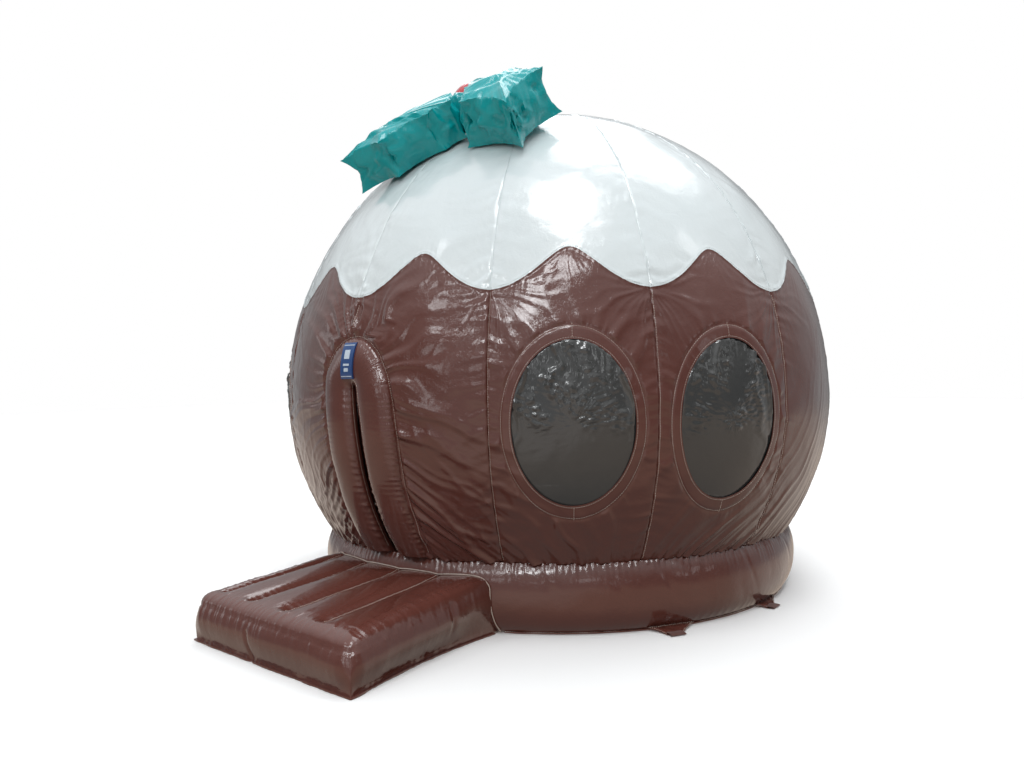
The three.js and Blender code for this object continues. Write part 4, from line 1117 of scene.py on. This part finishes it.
leaf_pvc = coated_cloth("holly_green_pvc", 0x00A9AC, 0x00979C, crinkle=0.7, gloss=0.0)
leaves = (("right", RIGHT_LEAF, RIGHT_CORNERS), ("left", LEFT_LEAF, LEFT_CORNERS))
for seed, (name, (root, turn, pitch, roll, bend, length, height), side) in enumerate(leaves):
    flat, middle, run = leaf_outline(length, side)
    heart = np.array([length / 2, 0])
    away = flat - heart
    distance = np.linalg.norm(away, axis=1)
    attitude = Matrix.Rotation(math.radians(turn), 3, "Z")
    attitude @= Matrix.Rotation(math.radians(pitch), 3, "Y")
    attitude @= Matrix.Rotation(math.radians(roll), 3, "X")

    def leaf_face(share, level, out):
        """One ring of a leaf: a share of its outline, at a height, pushed outwards by out."""
        spot = heart + away * (share + out / distance)[:, None]
        cup, arc = spot[:, 1] / LEAF_CUP, spot[:, 0] / bend
        far = bend + (LEAF_CUP + level) * np.cos(cup) - LEAF_CUP
        point = far * np.sin(arc), (LEAF_CUP + level) * np.sin(cup), far * np.cos(arc) - bend
        return sprig_point(*(np.array(attitude) @ point + np.array(root)[:, None]))

    def leaf_humps(share, up, size, seed):
        return humps(np.column_stack([flat * share, up + 0 * run]), size, seed)

    corner = np.exp(-middle / 0.35)
    rough = leaf_humps(1, 0, 0.09, 71 + seed) * (1 - corner)
    rings = []
    for share in (0.25, 0.5, 0.7, 0.85, 0.95):
        rings.append(leaf_face(share, LEAF_BASE_HOLLOW * min(1, 2 * (1 - share)), 0 * run))
    for up in np.arange(GUSSET_ROWS + 1) / GUSSET_ROWS:
        belly = math.sin(math.pi * up)
        noise = leaf_humps(1, up * height, 0.13, 72 + seed)
        held = math.exp(-up / 0.14) + math.exp(-(1 - up) / 0.14)
        pinch = LEAF_PINCHES[1] * pleats(run / LEAF_PINCHES[0] + 0.4 * noise, 76, 1.6) * held
        fold = LEAF_FOLDS[1] * pleats(run / LEAF_FOLDS[0] + 0.5 * noise, 77, 3) * belly
        out = LEAF_GUSSET_BULGE * middle * belly * 1.15 + 0.012 * noise * belly
        out = out + pinch - fold - 0.040 * corner * belly
        out = out + (0.018 * corner + 0.010 * rough) * (1 - belly)
        rings.append(leaf_face(1, up * height + 0.012 * rough * up**4, out))
    for share in 1 - 0.97 * (np.arange(1, TOP_ROWS + 1) / TOP_ROWS) ** 1.1:
        noise = leaf_humps(share, 0.5, 0.16, 74 + seed)
        rays = LEAF_RAYS[1] * pleats(run / LEAF_RAYS[0] + 0.35 * noise, 78, 1.6)
        rays = rays * math.exp(-(1 - share) / 0.22)
        crease = np.exp(-(1 - middle) / 0.3) * math.exp(-(1 - share) / 0.4)
        level = height + LEAF_CROWN * (1 - share**3) + rays * (1 - share**8)
        level = level + (0.012 * noise - 0.022 * crease) * (1 - share**4)
        level = level - 0.012 * corner * share**6 + 0.012 * rough * share**4
        rings.append(leaf_face(share, level, (0.016 * corner + 0.010 * rough) * share**6))
    finish = leaf_pvc, "leaf_pvc", [f"holly_leaf_{name}"]
    make_piece(f"leaf_{name}", *capped(np.array(rings)), *finish, crease=65)

turn = turns(JOIN_SIDES)
lie = np.linspace(0.05, np.pi - 0.05, JOIN_ROWS)[:, None]
noise = humps(np.stack(np.broadcast_arrays(turn, lie, 0 * lie), -1), 1.4, 79)
folds = pleats(turn * JOIN_FOLDS / (2 * np.pi) + 0.3 * noise, 75, 1.6, JOIN_FOLDS)
swell = np.sin(lie) ** 0.5 * (1 + 0.10 * folds + 0.06 * noise)
along, beside = JOIN_HALF_LENGTH * swell * np.cos(turn), JOIN_HALF_WIDTH * swell * np.sin(turn)
height = (JOIN_HIGH + JOIN_LOW) / 2 - (JOIN_HIGH - JOIN_LOW) / 2 * np.cos(lie) + 0.012 * noise
across = JOIN_PLACE[0] + along * math.cos(JOIN_WAY) - beside * math.sin(JOIN_WAY)
up = JOIN_PLACE[1] + along * math.sin(JOIN_WAY) + beside * math.cos(JOIN_WAY)
join = make_piece("leaf_join", *capped(sprig_point(across, up, height)), leaf_pvc, "leaf_pvc")

# ---- Berries --------------------------------------------------------------------------------
# Three stuffed balls of the same cloth in red, in the hollow between the leaves. Each is sewn
# from eight gores, which are gathered at its top and bottom.

BERRY_RADIUS = 0.172
BERRIES = ((-0.070, 0.335, 0.150), (-0.240, 0.630, 0.077), (0.118, 0.620, 0.089))
BERRY_GORES = 8
BERRY_ROWS, BERRY_SIDES = 40, 96
berry_pvc = coated_cloth("berry_red_pvc", 0xC81E30, 0xB01526, crinkle=1.2)
turn = turns(BERRY_SIDES)
lie = np.linspace(0.03, np.pi - 0.03, BERRY_ROWS)[:, None]
way = np.stack([np.sin(lie) * np.cos(turn), np.sin(lie) * np.sin(turn), np.cos(lie) + 0 * turn], -1)
in_gore = np.abs((turn * BERRY_GORES / (2 * np.pi)) % 1 - 0.5) * 2
seam = np.exp(-(1 - in_gore) / 0.10) * np.sin(lie)
for number, place in enumerate(BERRIES):
    noise = humps(way * BERRY_RADIUS + number, 0.14, 80 + number)
    gather = np.exp(-np.minimum(lie, np.pi - lie) / 0.3) * ridge(turn * 26 + 2 * noise)
    pinch = np.exp(-(1 - in_gore) / 0.25) * ridge(lie * 24 + 2 * noise) * np.sin(lie)
    size = BERRY_RADIUS - 0.002 - 0.008 * seam + 0.004 * pinch - 0.006 * gather + 0.002 * noise
    ball = sprig_point(*place) + way * size[..., None]
    finish = berry_pvc, "berry_pvc", [f"holly_berry_{number + 1:02d}"]
    make_piece(f"berry_{number + 1}", *capped(ball), *finish)

# ---- Anchor tabs ----------------------------------------------------------------------------
# Gussets of doubled cloth, sewn into the seam at the foot of the bed and left lying on the
# ground. Each ends in a folded loop of polyester webbing for a stake.

# azimuth in degrees, reach out from the bed, and how far the end is off to one side
ANCHORS = ((60, 0.155, -0.060), (91, 0.095, -0.110), (140, 0.150, -0.020))
ANCHORS += ((220, 0.150, 0.020), (268, 0.130, 0.040), (300, 0.155, 0.030))
TAB_ROOT_RADIUS = 1.868
TAB_ROOT_WIDTH, TAB_END_WIDTH = 0.400, 0.130
TAB_SEWN_IN = 0.04
TAB_COLUMNS, TAB_ROWS = 48, 16
LOOP_HALF_WIDTH, LOOP_HALF_LENGTH, LOOP_HALF_HEIGHT = 0.056, 0.040, 0.0072
LOOP_ROWS, LOOP_SIDES = 7, 32
STRAP = 0.0022  # thickness of the webbing
weave = ("TexWave", {"Scale": 60.0, "Distortion": 1.0}, "Fac", 0.5, 0.0006)
webbing = polyester("brown_polyester_webbing", 0x633A30, 0x4A2A23, (9.0, 5.0), weave, 0.65, 0.15)


def out_from_bed(across, out, up, azimuth):
    """Points given across, out from the axis and up, turned to an azimuth."""
    cos, sin = math.cos(math.radians(azimuth)), math.sin(math.radians(azimuth))
    return np.stack([across * cos + out * sin, across * sin - out * cos, up + 0 * across], -1)


def tab_face(number, across, along, lift):
    """A tab's cloth: wide where it leaves the bed, and drawn in to its loop."""
    azimuth, reach, slant = ANCHORS[number - 1]
    half = TAB_END_WIDTH / 2 + (TAB_ROOT_WIDTH - TAB_END_WIDTH) / 2 * (1 - along) ** 1.3
    x = slant * along + half * across
    root = np.sqrt(TAB_ROOT_RADIUS**2 - (half * across) ** 2)
    out = root + (TAB_ROOT_RADIUS + reach - root) * along
    wave = humps(np.stack([x, out, 0 * x], -1) + 7 * number, 0.10, 95)
    gather = pleats(across * 4 + 0.4 * wave, number, 1.5)
    up = 0.0055 + 0.0045 * (wave + 1) * np.sin(np.pi * along) + 0.012 * (1 - along) ** 2
    up = up + 0.007 * gather * along * (1 - along) * 4
    hem = np.exp(-(1 - np.abs(across)) * half / 0.010)
    return out_from_bed(x, out, up + 0.0015 * hem + lift, azimuth)


across = np.linspace(-1, 1, TAB_COLUMNS + 1)[None, :]
along = np.linspace(0, 1, TAB_ROWS + 1)[:, None]
down = np.linspace(0.03, 0.97, 60)
beside = np.linspace(-0.9, 0.9, 60)
turn, width = turns(LOOP_SIDES), np.linspace(-1, 1, LOOP_ROWS)[:, None]
ring, last = np.arange(LOOP_SIDES), LOOP_SIDES * (LOOP_ROWS - 1)
tab_rows = []
for number, (azimuth, reach, slant) in enumerate(ANCHORS, 1):
    outer, inner = (tab_face(number, across, along, lift) for lift in (0.0, -SKIN))
    finish = pudding_pvc, "brown_pvc", [f"anchor_tab_{number:02d}"]
    tab = thin_sheet(f"anchor_tab_cloth_{number}", outer, inner, False, *finish)
    size = (TAB_ROOT_WIDTH, reach + TAB_SEWN_IN)
    for row in ((-0.90 + 0 * down, down), (0.90 + 0 * down, down), (beside, 0.08 + 0 * beside)):
        tab_rows.append([tab_face(number, *row, lift) for lift in (0.0, LIFT)])
    # the webbing loop, folded flat
    sag = 0.0012 * np.sin(5 * width + number) * np.cos(turn)
    sides = []
    for thick in (0.0, STRAP):
        x = slant + LOOP_HALF_WIDTH * width + 0 * turn
        out = TAB_ROOT_RADIUS + reach + 0.006 + (LOOP_HALF_LENGTH - thick) * np.cos(turn)
        up = LOOP_HALF_HEIGHT + 0.001 + (LOOP_HALF_HEIGHT - thick) * np.sin(turn) + sag
        sides.append(out_from_bed(x, out, up, azimuth))
    points = np.concatenate(sides).reshape(-1, 3)
    back = ring + LOOP_SIDES * LOOP_ROWS
    quads = grid_faces(LOOP_ROWS, LOOP_SIDES, True)
    faces = [*quads, *(quads[:, ::-1] + back[0])]
    faces.extend([*loop_faces(back, ring), *loop_faces(ring + last, back + last)])
    make_piece(f"anchor_loop_{number}", points, faces, webbing, "brown_pvc", crease=50)
sew("thread_anchor_tabs", tab_rows)

# ---- Studio ---------------------------------------------------------------------------------
# A plain pale floor under a bright studio sky, with lamps and pale walls in it: white behind the
# object, and for its light a bright dome over a dim horizon and a warm ground.

FLOOR_REACH = 40
# The sine of the elevation at two ends, and the light at each: the sky brightens upwards, and
# the ground grows paler downwards and then dark again, towards the object's own shade
SKY_RISE = (0.10, 0.92, 0.20, 1.0)
GROUND_RISE = (0.0, -0.20, 0.0, 0.36)
GROUND_FALL = (-0.42, -0.88, 1.0, 0.22)
# The lamps: azimuth from the door towards +X, elevation and half-width in degrees, strength. The
# last three are pale walls, and the seven before them are low, small and dim.
LAMPS = (
    (50, 76, 12, 6.0), (38, 48, 5, 10.0), (23, 38, 5, 12.0), (4, 33, 4, 6.0), (-13, 33, 4, 5.5),
    (-30, 50, 5, 3.0), (118, 46, 5, 2.0), (-178, 62, 17, 2.5), (-141, 41, 14, 2.0),
    (-10, 11, 5, 1.7), (9, 15, 4, 1.5), (28, 10, 3, 1.3), (48, 13, 4, 1.2), (66, 8, 3, 0.9),
    (98, 13, 5, 0.8), (-72, 12, 7, 0.6),
    (22, 7, 34, 0.24), (-95, 4, 30, 0.15), (155, 0, 30, 0.18),
)
floor_mesh = bpy.data.meshes.new("studio_floor")
corners = [(x * FLOOR_REACH, y * FLOOR_REACH, -0.002) for x, y in ((-1, -1), (1, -1), (1, 1), (-1, 1))]
floor_mesh.from_pydata(corners, [], [(0, 1, 2, 3)])
floor = bpy.data.objects.new("studio_floor", floor_mesh)
bpy.context.scene.collection.objects.link(floor)
paint = bpy.data.materials.new("floor_paint")
paint.use_nodes = True
matt = paint.node_tree.nodes["Principled BSDF"].inputs
matt["Base Color"].default_value = linear(0xF2F2F1)
matt["Roughness"].default_value = 0.9
floor_mesh.materials.append(paint)
floor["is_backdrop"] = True
floor.visible_glossy = False
floor.visible_diffuse = False

world = bpy.data.worlds.new("studio")
world.use_nodes = True
tree = world.node_tree
tree.nodes.clear()
way = add_node(tree, "TexCoord").outputs["Generated"]
height = add_node(tree, "SeparateXYZ", {0: way}).outputs["Z"]
eased = {"interpolation_type": "SMOOTHSTEP"}
rise, paler, darker = (
    add_node(tree, "MapRange", {"Value": height, **dict(enumerate(span, 1))}, **eased)
    for span in (SKY_RISE, GROUND_RISE, GROUND_FALL)
)
lit = add_node(tree, "Math", {0: paler, 1: darker}, operation="MULTIPLY")
glow = rise
for azimuth, elevation, half_width, strength in LAMPS:
    turn, lift = math.radians(azimuth), math.radians(elevation)
    aim = (math.sin(turn) * math.cos(lift), -math.cos(turn) * math.cos(lift), math.sin(lift))
    near = add_node(tree, "VectorMath", {0: way, 1: aim}, operation="DOT_PRODUCT").outputs["Value"]
    edge, heart = (math.cos(math.radians(half_width * share)) for share in (1.25, 0.75))
    box = add_node(tree, "MapRange", {"Value": near, 1: edge, 2: heart, 3: 0.0, 4: strength}, **eased)
    glow = add_node(tree, "Math", {0: glow, 1: box}, operation="ADD")
sky = add_node(tree, "Background", {"Color": linear(0xFBFDFF), "Strength": glow})
soil = add_node(tree, "Background", {"Color": linear(0xF2CFAF), "Strength": lit})
light = add_node(tree, "AddShader", {0: sky, 1: soil})
white = add_node(tree, "Background", {"Color": linear(0xFFFFFF), "Strength": 1.0})
seen = add_node(tree, "LightPath").outputs["Is Camera Ray"]
either = add_node(tree, "MixShader", {0: seen, 1: light, 2: white})
add_node(tree, "OutputWorld", {"Surface": either})
bpy.context.scene.world = world
bpy.context.scene.view_settings.view_transform = "Standard"

# ---- Camera ---------------------------------------------------------------------------------
# A compact camera with a short zoom lens, held at a little over head height in front of the
# right front corner, and tilted by less than one degree.

camera_data = bpy.data.cameras.new("camera")
camera_data.lens = 30.607
camera_data.sensor_width = 36
camera_data.clip_end = 200
camera = bpy.data.objects.new("camera", camera_data)
bpy.context.scene.collection.objects.link(camera)
view = Matrix.Translation((4.4858, -6.1304, 1.7413))
for angle, axis in ((39.0333, "Z"), (90 - 0.8612, "X"), (-0.9282, "Z")):
    view = view @ Matrix.Rotation(math.radians(angle), 4, axis)
camera.matrix_world = view
bpy.context.scene.camera = camera

low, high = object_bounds()
